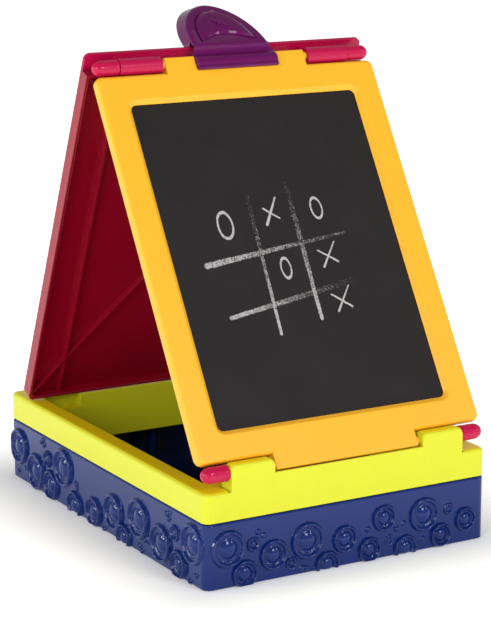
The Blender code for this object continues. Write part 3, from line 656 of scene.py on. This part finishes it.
def perimeter():
    """Rows of place, outward normal and distance walked, round the footprint from the front's middle."""
    straight_x, straight_y = HALF_WIDTH - CORNER_R, (BACK - FRONT) / 2 - CORNER_R
    quarter = math.pi * CORNER_R / 2
    middle = (FRONT + BACK) / 2
    runs = [straight_x, quarter, 2 * straight_y, quarter, 2 * straight_x, quarter, 2 * straight_y, quarter]
    runs.append(straight_x)
    total = sum(runs)
    count = round(total / GRID)
    rows = []
    for i in range(count):
        walk = distance = total * i / count
        part = 0
        while walk > runs[part]:
            walk -= runs[part]
            part += 1
        turn = math.pi / 2 * (part // 2) + (walk / CORNER_R if part % 2 else 0.0)
        normal = Vector((math.sin(turn), -math.cos(turn)))
        if part % 2:
            corner = ((1, -1), (1, 1), (-1, 1), (-1, -1))[part // 2]
            point = Vector((corner[0] * straight_x, middle + corner[1] * straight_y)) + normal * CORNER_R
        else:
            starts = ((0, FRONT), (HALF_WIDTH, middle - straight_y), (straight_x, BACK),
                      (-HALF_WIDTH, middle + straight_y), (-straight_x, FRONT))
            heading = Vector((math.cos(turn), math.sin(turn)))
            point = Vector(starts[part // 2]) + heading * walk
        rows.append((*point, *normal, distance))
    return np.array(rows), total, straight_x + quarter - CORNER_R


def ring_height(distance, radius):
    """Height of one bubble at a distance from its centre: outer ring, ledge, groove and dome."""
    share = distance / radius
    ledge, groove = 0.9 * MM, -min(0.9 * MM, 0.07 * radius)
    half = max(0.115, 1.1 * MM / radius)
    ring = min(RELIEF, 0.32 * radius) * np.clip(1 - np.abs((share - 1 + half) / half) ** 2.6, 0, 1) ** 0.5
    floor = np.where(share < 0.9 - 2 * half, groove, ledge)
    height = np.where(share > 1 - half, ring, np.maximum(ring, floor))
    dome_r = 0.78 * (1 - 2 * half) * radius
    rise = min(RELIEF - groove, 0.62 * dome_r)
    sphere = (dome_r ** 2 + rise ** 2) / (2 * rise)
    cap = np.sqrt(np.clip(sphere ** 2 - distance ** 2, 0, None)) - (sphere - rise)
    return np.where(distance < dome_r, np.maximum(groove + cap, groove), height)


def relief_map(walks, levels, total, corner_walk):
    """Height of the relief over the unrolled wall: one column for each level.

    Each spot is (place along the wall, height, radius); a negative radius makes a plain dot.
    """
    walk, level = np.meshgrid(walks, levels, indexing="ij")
    spots = []
    for sign in (-1, 1):
        shift = 0 if sign < 0 else total / 2
        spots += [(shift + x * MM, z * MM, r * MM) for x, z, r in FRONT_RINGS]
        spots += [(shift + x * MM, z * MM, -DOT_R) for x, z in FRONT_DOTS]
        scale, start = (1, corner_walk) if sign < 0 else (RIGHT_SCALE, corner_walk + RIGHT_SHIFT)
        spots += [(sign * (start + scale * y * MM), z * MM, r * MM) for y, z, r in SIDE_RINGS]
        spots += [(sign * (start + scale * y * MM), z * MM, -DOT_R) for y, z in SIDE_DOTS]
    height = np.zeros_like(walk)
    shaped = np.zeros(walk.shape, bool)
    for place_along, rise, radius in spots:
        apart = (walk - place_along + total / 2) % total - total / 2
        distance = np.hypot(apart, level - rise)
        if radius < 0:
            dot = 0.9 * np.sqrt(np.clip(radius ** 2 - distance ** 2, 0, None))
            height = np.maximum(height, dot)
        else:
            near = distance < radius
            bubble = ring_height(distance[near], radius)
            height[near] = np.where(shaped[near], np.maximum(height[near], bubble), bubble)
            shaped |= near
    return height


def fill_with_holes(bm, rings):
    """Flat faces between an outer ring of vertices and the rings of holes inside it."""
    edges = []
    for ring in rings:
        for i, vert in enumerate(ring):
            other = ring[(i + 1) % len(ring)]
            edges.append(bm.edges.get((vert, other)) or bm.edges.new((vert, other)))
    bmesh.ops.triangle_fill(bm, use_beauty=True, edges=edges)


def base_shell(material):
    """Blue tray with raised rings all round, a flat underside and eight screw towers."""
    places, total, corner_walk = perimeter()
    rim_chamfer, foot_round, sole_inset = 1.4 * MM, 1.5 * MM, 4 * MM
    levels = np.arange(0, SHELL_TOP + GRID / 2, SHELL_TOP / round(SHELL_TOP / GRID))
    height = relief_map(places[:, 4], levels, total, corner_walk)
    foot = foot_round ** 2 - (foot_round - levels) ** 2
    inset = np.maximum(foot_round - np.sqrt(np.clip(foot, 0, None)), 0)
    inset[levels > foot_round] = 0
    inset += np.clip(levels - (SHELL_TOP - rim_chamfer), 0, None)
    bm = bmesh.new()
    loops = []
    underside = places[:, :2] - places[:, 2:4] * sole_inset
    loops.append([(x, y, 0.0) for x, y in underside])
    for column, level in enumerate(levels):
        out = (height[:, column] - inset[column])[:, None]
        outline = places[:, :2] + places[:, 2:4] * out
        loops.append([(x, y, level) for x, y in outline])
    inner = places[:, :2] - places[:, 2:4] * WALL
    for level in (SHELL_TOP, WALL):
        loops.append([(x, y, level) for x, y in inner])
    rings = [[bm.verts.new(point) for point in loop] for loop in loops]
    add_bands(bm, rings)
    bottom_holes, floor_holes = [], []
    tower_top = SHELL_TOP - 2 * MM
    for x, y in SCREW_SPOTS:
        steps = [(0.0, BORE_WIDE), (SCREW_SEAT, BORE_WIDE), (SCREW_SEAT, BORE_NARROW),
                 (tower_top, BORE_NARROW), (tower_top, TOWER_R), (WALL, TOWER_R)]
        tower = [[bm.verts.new((*point, z)) for point in circle(x, y, radius, 24)] for z, radius in steps]
        add_bands(bm, tower)
        bottom_holes.append(tower[0])
        floor_holes.append(tower[-1])
    fill_with_holes(bm, [rings[0], *bottom_holes])
    fill_with_holes(bm, [rings[-1], *floor_holes])
    obj = mesh_object("moulded_base", bm)
    return place(obj, Matrix(), "base", material, "base_shell", 50)


def collar_ring():
    """Band, rounded rim and inner skirt as one closed ring of loops."""
    def outer(inset, z):
        return at_level(footprint(inset), z)

    def inner(grow, z):
        return at_level(rounded_rect(OPENING_X + grow, OPENING_FRONT - grow, OPENING_BACK + grow,
                                     OPENING_R + grow), z)

    foot = SHELL_TOP + GAP
    loops = [outer(WALL, foot), outer(1.6 * MM, foot), outer(0.4 * MM, foot + 0.4 * MM),
             outer(0, foot + 1.2 * MM)]
    loops += [outer(across, RIM_TOP - down) for across, down in quarter_round(RIM_EDGE_R, 6)]
    loops += [inner(down, RIM_TOP - across) for across, down in quarter_round(RIM_INNER_R, 5)]
    loops += [inner(0, SKIRT_BOTTOM + 0.6 * MM), inner(0.6 * MM, SKIRT_BOTTOM), inner(WALL, SKIRT_BOTTOM),
              inner(WALL, RIM_TOP - WALL), outer(WALL, RIM_TOP - WALL)]
    bm = bmesh.new()
    add_bands(bm, [[bm.verts.new(point) for point in loop] for loop in loops], closed=True)
    return bm


def lug_section(drop):
    """Side outline of a lug: upright front face, round back, and a top lowered by drop."""
    root = RIM_TOP - 8 * MM
    points = [(HINGE.y - LUG_R, root), (HINGE.y + LUG_R, root)]
    points += arc(HINGE.y, HINGE.z - drop, LUG_R, 0, 90, 12)
    edge_y, edge_z = HINGE.y - LUG_R + LUG_EDGE_R, HINGE.z + LUG_R - LUG_EDGE_R - drop
    return points + arc(edge_y, edge_z, LUG_EDGE_R, 90, 90, 8)


def base_lug(sign):
    """Hinge lug drawn along x, its top corners rounded as seen from the front."""
    x0, x1 = span(sign, *LUG_X)
    corner = quarter_round(LUG_CORNER_R, 9)
    stations = [(x0 + inset, drop) for inset, drop in corner]
    stations += [(x1 - inset, drop) for inset, drop in reversed(corner)]
    return loft([[(x, y, z) for y, z in lug_section(drop)] for x, drop in stations])


def storage_collar(material):
    """Yellow collar: rim, raised front lip, hinge lugs, rear pockets and screw bosses."""
    lip_end = LUG_X[0] + MM
    lip = box(-lip_end, lip_end, FRONT, FRONT + LIP_T, RIM_TOP - 6 * MM, LIP_TOP)
    rounded(lip, 2, LIP_TOP, 0.9 * MM)
    add = [base_lug(-1), base_lug(1), lip]
    cut = []
    low, pilot_top, pilot_r = SHELL_TOP - 1.7 * MM, 78 * MM, 1.6 * MM
    for x, y in SCREW_SPOTS:
        add.append(moved(along_z(rod(low, RIM_TOP - MM, TOWER_R, 24)), x, y))
        cut.append(moved(along_z(rod(low - MM, pilot_top, pilot_r, 24)), x, y))
    for sign in (-1, 1):
        side = span(sign, POCKET_X - WALL, OPENING_X + MM)
        add.append(box(*side, OPENING_BACK + MM, OPENING_BACK + POCKET_DEPTH + WALL, POCKET_BOTTOM - WALL,
                       RIM_TOP - MM))
        side = span(sign, POCKET_X, OPENING_X)
        pocket = box(*side, OPENING_BACK - 6 * MM, OPENING_BACK + POCKET_DEPTH, POCKET_BOTTOM, RIM_TOP + MM)
        cut.append(pocket)
        cut.append(tunnel(sign, LUG_X[0] - 5 * MM, LUG_X[1] + 5 * MM, HINGE.y, HINGE.z))
        side = span(sign, LUG_X[1] + GAP, LUG_X[1] + GAP + SLIT)
        cut.append(box(*side, FRONT + 1.2 * MM, FRONT + 20 * MM, RIM_TOP - 6 * MM, RIM_TOP + MM))
    obj = solid("tray_collar", collar_ring(), add, cut)
    return place(obj, Matrix(), "base", material, "storage_collar")


def pin(name, sign, matrix, body, material, node):
    """Bullet-headed hinge pin with a collar groove and a shank."""
    face = LUG_X[1] + GAP
    nose, nose_r = PIN_HEAD_END - PIN_NOSE, PIN_HEAD_R - 0.15 * MM
    profile = [(face + across, PIN_HEAD_R - down) for across, down in quarter_round(0.9 * MM, 3)]
    profile += [(face + 2.6 * MM, PIN_HEAD_R), (face + 3.0 * MM, PIN_HEAD_R - 0.35 * MM),
                (face + 3.4 * MM, PIN_HEAD_R - 0.05 * MM), (nose, nose_r)]
    for step in range(1, 12):
        angle = math.radians(90 * step / 12)
        profile.append((nose + PIN_NOSE * math.sin(angle), nose_r * math.cos(angle) ** 0.8))
    profile.append((PIN_HEAD_END, 0))
    tip = TAB_BOSS_END - PIN_DEPTH
    shank = [(tip, 0), (tip, PIN_R - 0.7 * MM), (tip + 0.8 * MM, PIN_R), (face, PIN_R)]
    bm = turned([(sign * x, r) for x, r in shank + profile])
    return place(mesh_object(name, bm), matrix, body, material, node, 40)


# Front panel -------------------------------------

def frame_plate():
    """Rounded rectangle between the hinge edges, its front rim rolled over."""
    roll, back, corner = 4 * MM, 0.8 * MM, 7 * MM
    low, high = NOTCH, PANEL_LENGTH - NOTCH

    def outline(inset, z):
        return at_level(rounded_rect(HALF_WIDTH - inset, low + inset, high - inset, corner - inset), z)

    loops = [outline(back, GAP), outline(back * 0.3, GAP + back * 0.3), outline(0, GAP + back)]
    loops += [outline(across, PANEL_T - down) for across, down in quarter_round(roll, 8)]
    return loft(loops)


def window_slope():
    """Cutter for the sloping edge round the board."""
    loops = []
    steps = [(0, PANEL_T - BEZEL + 0.6 * MM), (0.5 * MM, PANEL_T - BEZEL + 1.0 * MM),
             (BEVEL_WIDTH - 0.8 * MM, PANEL_T - 0.35 * MM), (BEVEL_WIDTH + 0.4 * MM, PANEL_T + 0.05 * MM),
             (BEVEL_WIDTH + MM, PANEL_T + 0.5 * MM)]
    for grow, z in steps:
        window = rounded_rect(BOARD_X + grow, BOARD_Y[0] - grow, BOARD_Y[1] + grow, BOARD_R + grow)
        loops.append(at_level(window, z))
    return loft(loops)


def tab_edge(end, way):
    """Section of a hinge edge: round behind, and flush with the face of the panel in front."""
    edge_r, face = 1.6 * MM, PANEL_T
    rim = end + way * BARREL_R
    overlap = NOTCH + 6 * MM
    points = [(end - way * overlap, face), (rim - way * edge_r, face)]
    turn = arc(0, 0, edge_r, 90, -90, 5)
    points += [(rim - way * edge_r + way * y, face - edge_r + z) for y, z in turn]
    back = arc(0, 0, BARREL_R, 0, -125, 16)
    points += [(end + way * y, AXIS_DEPTH + z) for y, z in back]
    return points + [(end - way * overlap, GAP)]


def front_frame(material):
    """Orange frame round the chalkboard, with hinge barrels and the notch for the clip."""
    add = []
    for end, way in ((0, -1), (PANEL_LENGTH, 1)):
        barrel = bar(tab_edge(end, way), -TAB_X, TAB_X)
        for x in (-TAB_X, TAB_X):
            rounded(barrel, 0, x, 0.8 * MM, 3)
        add.append(barrel)
        for sign in (-1, 1):
            boss = bar(circle(end, AXIS_DEPTH, TAB_BOSS_R), *span(sign, TAB_X - MM, TAB_BOSS_END))
            add.append(boss)
    ledge = BOARD_LIP + GAP
    notch_x = CLIP_X + 0.5 * MM
    cut = [window_slope(),
           prism(rounded_rect(BOARD_X, *BOARD_Y, BOARD_R), 2 * MM, PANEL_T + MM),
           box(-HALF_WIDTH + 3.5 * MM, HALF_WIDTH - 3.5 * MM, NOTCH + 4 * MM, PANEL_LENGTH - NOTCH - 4 * MM,
               -MM, LEDGE_Z),
           box(-BOARD_X - ledge, BOARD_X + ledge, BOARD_Y[0] - ledge, BOARD_Y[1] + ledge,
               -MM, PANEL_T - BEZEL),
           box(-notch_x, notch_x, PANEL_LENGTH - 8 * MM, PANEL_LENGTH + 20 * MM, -20 * MM, 20 * MM)]
    for sign in (-1, 1):
        for y in (0, PANEL_LENGTH):
            cut.append(tunnel(sign, TAB_BOSS_END - PIN_DEPTH - MM, TAB_BOSS_END + MM, y, AXIS_DEPTH))
        cut.append(tunnel(sign, CLIP_X - MM, CLIP_X + 7 * MM, PANEL_LENGTH - AXLE_DROP, AXLE_Z, 1.7 * MM))
        for y in screw_rows():
            hole = along_z(rod(2 * MM, 8 * MM, 1.3 * MM, 24))
            cut.append(moved(hole, sign * (BOARD_X + BOARD_LIP + 3.6 * MM), y))
    obj = solid("board_frame", frame_plate(), add, cut)
    return place(obj, FRONT_FRAME, "front_panel", material, "front_frame")


def screw_rows():
    inset = 25 * MM
    return BOARD_Y[0] + inset, (BOARD_Y[0] + BOARD_Y[1]) / 2, BOARD_Y[1] - inset


def chalkboard(material):
    outline = rounded_rect(BOARD_X + BOARD_LIP, BOARD_Y[0] - BOARD_LIP, BOARD_Y[1] + BOARD_LIP, 2 * MM, 6)
    bm = prism(outline, LEDGE_Z, BOARD_TOP)
    rounded(bm, 2, BOARD_TOP, 0.3 * MM, 2)
    obj = mesh_object("slate_board", bm)
    return place(obj, FRONT_FRAME, "front_panel", material, "chalkboard")


# Paper clip --------------------------------------

def clip_section():
    """Side section of the clip about its axle, as (y, z): rolled lip, neck and barrel."""
    lip = [(-8.4 * MM, 5.6 * MM)] + arc(-6.6 * MM, 7.4 * MM, 1.8 * MM, 200, -95, 6)
    lip += arc(-0.4 * MM, 0.9 * MM, 8.6 * MM, 118, -62, 14)
    neck = arc(11.0 * MM, 9.6 * MM, 5.9 * MM, 205, 123, 16)
    back = [RIDGE, (18.2 * MM, 5.0 * MM), (18.2 * MM, 4.4 * MM), (12 * MM, 2 * MM), (7.5 * MM, 1.2 * MM)]
    barrel = arc(0, 0, CLIP_BARREL_R, 20, -230, 20)
    return lip + neck + back + barrel + [(-4.4 * MM, 4.9 * MM), (-5.5 * MM, 5.4 * MM)]


def clip_body():
    """The section drawn across the clip, narrowing from the neck up to the foot of the tab."""
    neck = 10 * MM
    slope = (CLIP_X - TAB_HALF) / (RIDGE[0] - neck)
    loops = []
    for side in (-1, 1):
        loops.append([(side * (CLIP_X - slope * max(y - neck, 0)), y, z) for y, z in clip_section()])
    return softened(loft(loops), 0.7 * MM, 3, 60)


def tab_outline(inset=0.0, steps=56):
    """The tab's D shape: (across, up the face from its foot)."""
    points = []
    for step in range(steps + 1):
        angle = math.pi * step / steps
        across = math.copysign(abs(math.cos(angle)) ** 1.08, math.cos(angle))
        points.append((across * (TAB_HALF - inset), inset + (TAB_LENGTH - 2 * inset) * math.sin(angle)))
    return points


def on_face(points, height=0.0, depth=0.0):
    """Place points of the tab's face, raised above it or sunk along the rim."""
    along = Vector((0, math.cos(TAB_TILT), -math.sin(TAB_TILT)))
    normal = Vector((0, math.sin(TAB_TILT), math.cos(TAB_TILT)))
    foot = Vector((0, *RIDGE)) + normal * height + TAB_DRAW * depth
    return [tuple(foot + along * up + Vector((across, 0, 0))) for across, up in points]


def tab_body():
    """The thumb tab: a deep rim that rolls over on to the face."""
    roll = 3 * MM
    loops = [on_face(tab_outline(), depth=TAB_DEPTH)]
    loops += [on_face(tab_outline(across), depth=down) for across, down in quarter_round(roll, 7)]
    return loft(loops)


def medallion_outline(share=1.0):
    """Arched above, with a hollowed lower edge; the share shrinks it towards its middle."""
    half, foot, height, arch, steps = 29 * MM, 6.5 * MM, 47.5 * MM, 10 * MM, 40
    upper = [(half * math.cos(math.pi * i / steps), foot + height * math.sin(math.pi * i / steps))
             for i in range(steps + 1)]
    lower = [(half * (i / 10 - 1), foot + arch * (1 - (i / 10 - 1) ** 2)) for i in range(1, 20)]
    middle = foot + 2.2 * arch
    return [(x * share, middle + (y - middle) * share) for x, y in upper + lower]


def medallion():
    """Raised field with sloping sides and a slightly domed top."""
    steps = ((1, -1.5), (1, 0.2), (0.985, 0.7), (0.83, 2.35), (0.80, 2.55), (0.72, 2.75), (0.5, 3.1),
             (0.2, 3.25))
    return loft([on_face(medallion_outline(share), height * MM) for share, height in steps])


def medallion_groove():
    steps = ((1.03, -1.1), (1.075, 0.0), (1.09, 0.6), (1.10, 1.6))
    return loft([on_face(medallion_outline(share), height * MM) for share, height in steps])


def star(points=5, outer=9.0 * MM, inner=4.2 * MM):
    middle, root, top = 32 * MM, 1.5 * MM, 4.5 * MM
    spots = []
    for i in range(2 * points):
        radius = outer if i % 2 == 0 else inner
        angle = math.pi / 2 + math.pi * i / points
        spots.append((radius * math.cos(angle), middle + radius * math.sin(angle)))
    return softened(loft([on_face(spots, root), on_face(spots, top)]), 0.4 * MM, 2, 25)


def rail_channel():
    """Room under the tab for the rear panel's rail."""
    inner = RAIL_INNER - RAIL_OUT * RAIL_ROOM
    outer = RAIL_OUTER + RAIL_OUT * RAIL_GAP
    down, up = RAIL_UP * 20 * MM, RAIL_UP * RAIL_ROOM
    corners = [inner - down, outer - down, outer + up, inner + up]
    return bar([(corner.y, corner.z) for corner in corners], -TAB_HALF - 5 * MM, TAB_HALF + 5 * MM)


def clip_lever(material):
    """Purple clip: rolled lip, neck and a thumb tab with a plain raised star."""
    hole = rod(-CLIP_X - MM, CLIP_X + MM, AXLE_R + GAP)
    spring_room = box(-9 * MM, 9 * MM, -6.5 * MM, 5.5 * MM, -8 * MM, 4.2 * MM)
    obj = solid("paper_clip", clip_body(), [tab_body()],
                [hole, spring_room, rail_channel(), medallion_groove()])
    apply_boolean(obj, [medallion()], "UNION")
    apply_boolean(obj, [star()], "UNION")
    return place(obj, CLIP_FRAME, "clip", material, "clip_lever")


# Rear panel --------------------------------------

def brace(sign, low):
    """Diagonal rib from one bottom corner to the opposite top corner, its top edges rounded."""
    start = Vector((sign * (HALF_WIDTH - REAR_WALL), REAR_LENGTH - 3 * MM))
    end = Vector((-sign * (HALF_WIDTH - REAR_WALL), FIRST_WALL + 2 * MM))
    side = (end - start).normalized().orthogonal() * RIB_T / 2
    corners = [tuple(start - side), tuple(start + side), tuple(end + side), tuple(end - side)]
    return rounded(prism(corners, RIB_Z, low), 2, RIB_Z, 0.5 * MM, 2)


def edge_wall(sign, low):
    """Side wall of the rear panel, rounded along its free edge."""
    side = span(sign, HALF_WIDTH - REAR_WALL, HALF_WIDTH - 0.01 * MM)
    return rounded(box(*side, FIRST_WALL, REAR_LENGTH - 6 * MM, GAP, low), 2, GAP, 0.9 * MM, 3)


def rear_lug(sign, low):
    web = -0.35 * REAR_LUG_R
    profile = [(REAR_LUG_R, low), (web, low)] + arc(0, -AXIS_DEPTH, REAR_LUG_R, -250, 250, 32)
    x0, x1 = span(sign, *LUG_X)
    bm = bar(profile, x0, x1)
    for x in (x0, x1):
        rounded(bm, 0, x, 1.2 * MM, 3)
    return bm


def rear_frame(material):
    """Crimson panel: plate, edge walls, vertical and crossed ribs, hinge lugs and a seat for the sheet."""
    low = PLATE_Z + 0.5 * MM
    plate = prism(rounded_rect(HALF_WIDTH, -REAR_TOP, REAR_LENGTH, 6 * MM), PLATE_Z, REAR_T)
    rounded(plate, 2, REAR_T, 1.4 * MM, 4)
    bottom = box(-HALF_WIDTH + 6 * MM, HALF_WIDTH - 6 * MM, REAR_LENGTH - REAR_WALL,
                 REAR_LENGTH - 0.01 * MM, GAP, low)
    top = box(-HALF_WIDTH + MM, HALF_WIDTH - MM, FIRST_WALL, FIRST_WALL + REAR_WALL, GAP, low)
    add = [rounded(bottom, 2, GAP, 0.9 * MM, 3), rounded(top, 2, GAP, 0.9 * MM, 3)]
    for sign in (-1, 1):
        add.append(edge_wall(sign, low))
        cx, cy = sign * (HALF_WIDTH - 6 * MM), REAR_LENGTH - 6 * MM
        corner = [(cx, cy)] + arc(cx, cy, 5.99 * MM, 0 if sign > 0 else 180, sign * 90, FINE)
        add.append(rounded(prism(corner, GAP, low), 2, GAP, 0.7 * MM, 3))
        side = span(sign, RIB_X - RIB_T / 2, RIB_X + RIB_T / 2)
        rib = box(*side, FIRST_WALL + MM, REAR_LENGTH - MM, RIB_Z, low)
        add.append(rounded(rib, 2, RIB_Z, 0.5 * MM, 2))
        add.append(brace(sign, low))
        add.append(rear_lug(sign, low))
    cut = [box(-SHEET_X - GAP, SHEET_X + GAP, SHEET_Y[0] - GAP, SHEET_Y[1] + GAP, REAR_T - SHEET_T - GAP,
               REAR_T + MM)]
    for sign in (-1, 1):
        cut.append(tunnel(sign, LUG_X[0] - MM, LUG_X[1] + MM, 0, -AXIS_DEPTH))
    obj = solid("rear_board_frame", plate, add, cut)
    return place(obj, REAR_FRAME, "rear_panel", material, "rear_frame")


def whiteboard(material):
    bm = prism(rounded_rect(SHEET_X, *SHEET_Y, 1.5 * MM, 4), REAR_T - SHEET_T, REAR_T - 0.1 * MM)
    rounded(bm, 2, REAR_T - 0.1 * MM, 0.3 * MM, 2)
    obj = mesh_object("dry_erase_sheet", bm)
    return place(obj, REAR_FRAME, "rear_panel", material, "whiteboard")


# Stage -------------------------------------------

def floor():
    """Pale sweep that glows more away from the object's footprint, so that it stays white; its weaker glow
    near the footprint paints shadow round the base.
    """
    make = Nodes("floor")
    tone = make.mix(make.noise(0.4, 3), (0.90, 0.90, 0.90, 1), (0.93, 0.93, 0.93, 1))
    beyond = make.vector("SUBTRACT", make.vector("ABSOLUTE", make.coords), (HALF_WIDTH, BACK, 0))
    away = make.vector("LENGTH", make.vector("MAXIMUM", beyond, (0, 0, 0)))
    # Painted shadow: the glow is weakest at the footprint, which darkens the floor round the base.
    glow = make.spread(away, 0.0, 0.15, 0.15, 0.74)
    make.finish(Base_Color=tone, Roughness=0.9, Specular_IOR_Level=0.1, Emission_Color=(1, 1, 1, 1),
                Emission_Strength=glow)
    bm = bmesh.new()
    bmesh.ops.create_grid(bm, x_segments=8, y_segments=8, size=30)
    obj = mesh_object("floor", bm)
    obj.data.materials.append(make.material)
    obj.location.z = -0.2 * MM


def softbox(name, azimuth, elevation, distance, size, power, target):
    """Square area light; azimuth is measured from straight in front, to the right."""
    a, e = math.radians(azimuth), math.radians(elevation)
    way = Vector((math.sin(a) * math.cos(e), -math.cos(a) * math.cos(e), math.sin(e)))
    data = bpy.data.lights.new(name, "AREA")
    data.shape = "RECTANGLE"
    data.size = size
    data.size_y = size
    data.energy = power
    lamp = new_object(name, data)
    lamp.location = target + way * distance
    lamp.rotation_mode = "QUATERNION"
    lamp.rotation_quaternion = way.to_track_quat("Z", "Y")


def light():
    """Softboxes in front and at the left, a broad fill, and a world that is darker overhead."""
    world = bpy.data.worlds.new("studio")
    bpy.context.scene.world = world
    world.use_nodes = True
    nodes, links = world.node_tree.nodes, world.node_tree.links
    coords = nodes.new("ShaderNodeTexCoord")
    split = nodes.new("ShaderNodeSeparateXYZ")
    fade = nodes.new("ShaderNodeMapRange")
    top, horizon, overhead = 0.75, 0.70, 0.30
    for socket, value in zip(fade.inputs[1:], (0.0, top, horizon, overhead)):
        socket.default_value = value
    links.new(coords.outputs["Generated"], split.inputs[0])
    links.new(split.outputs["Z"], fade.inputs[0])
    links.new(fade.outputs["Result"], nodes["Background"].inputs["Strength"])
    nodes["Background"].inputs["Color"].default_value = (1.0, 1.0, 1.0, 1.0)
    centre = (Vector(CAD_BOX[0]) + Vector(CAD_BOX[1])) / 2
    boxes = [("softbox_left", 12, 26, 2.6, 0.76, 20.5),
             ("softbox_right", 50, 20, 2.6, 0.36, 5),
             ("side_near", -100, 12, 2.6, 0.42, 9),
             ("side_far", -118, 12, 2.6, 0.36, 7),
             ("side_fill", -58, 18, 3.2, 1.4, 31)]
    for name, azimuth, elevation, distance, size, power in boxes:
        softbox(name, azimuth, elevation, distance, size, power, centre)
    bpy.context.scene.view_settings.view_transform = "Standard"


def camera():
    """Camera at three-quarter view: turned to the right, tipped down and hardly rolled."""
    yaw, pitch, roll = math.radians(29.90), math.radians(12.92), math.radians(0.12)
    forward = Vector((math.sin(yaw) * math.cos(pitch), math.cos(yaw) * math.cos(pitch), -math.sin(pitch)))
    level = Vector((math.cos(yaw), -math.sin(yaw), 0))
    down = forward.cross(level)
    right = math.cos(roll) * level + math.sin(roll) * down
    up = math.sin(roll) * level - math.cos(roll) * down
    data = bpy.data.cameras.new("camera")
    data.lens = 122.3
    data.sensor_width = 36
    data.clip_end = 100
    obj = new_object("camera", data)
    spot = Vector((-1.0344, -1.8165, 0.6696))
    obj.matrix_world = Matrix.Translation(spot) @ Matrix((right, up, -forward)).transposed().to_4x4()
    bpy.context.scene.camera = obj


def main():
    paint = make_materials()
    base_shell(paint["blue"])
    storage_collar(paint["yellow"])
    front_frame(paint["orange"])
    chalkboard(paint["slate"])
    clip_lever(paint["purple"])
    rear_frame(paint["crimson"])
    whiteboard(paint["white"])
    front_axis = Matrix.Translation(HINGE)
    rear_axis = REAR_FRAME @ Matrix.Translation((0, 0, -AXIS_DEPTH))
    for side, sign in (("left", -1), ("right", 1)):
        pin(f"lower_bullet_{side}", sign, front_axis, "base", paint["pin"], f"lower_pin_{side}")
        pin(f"upper_bullet_{side}", sign, rear_axis, "rear_panel", paint["pin"], f"upper_pin_{side}")
    for name, node in frame["nodes"].items():
        if "screw" in name or name in ("clip_axle", "clip_spring"):
            for slot in node.material_slots:
                slot.material = paint["steel"]
    floor()
    light()
    camera()


main()
bpy.context.view_layer.update()
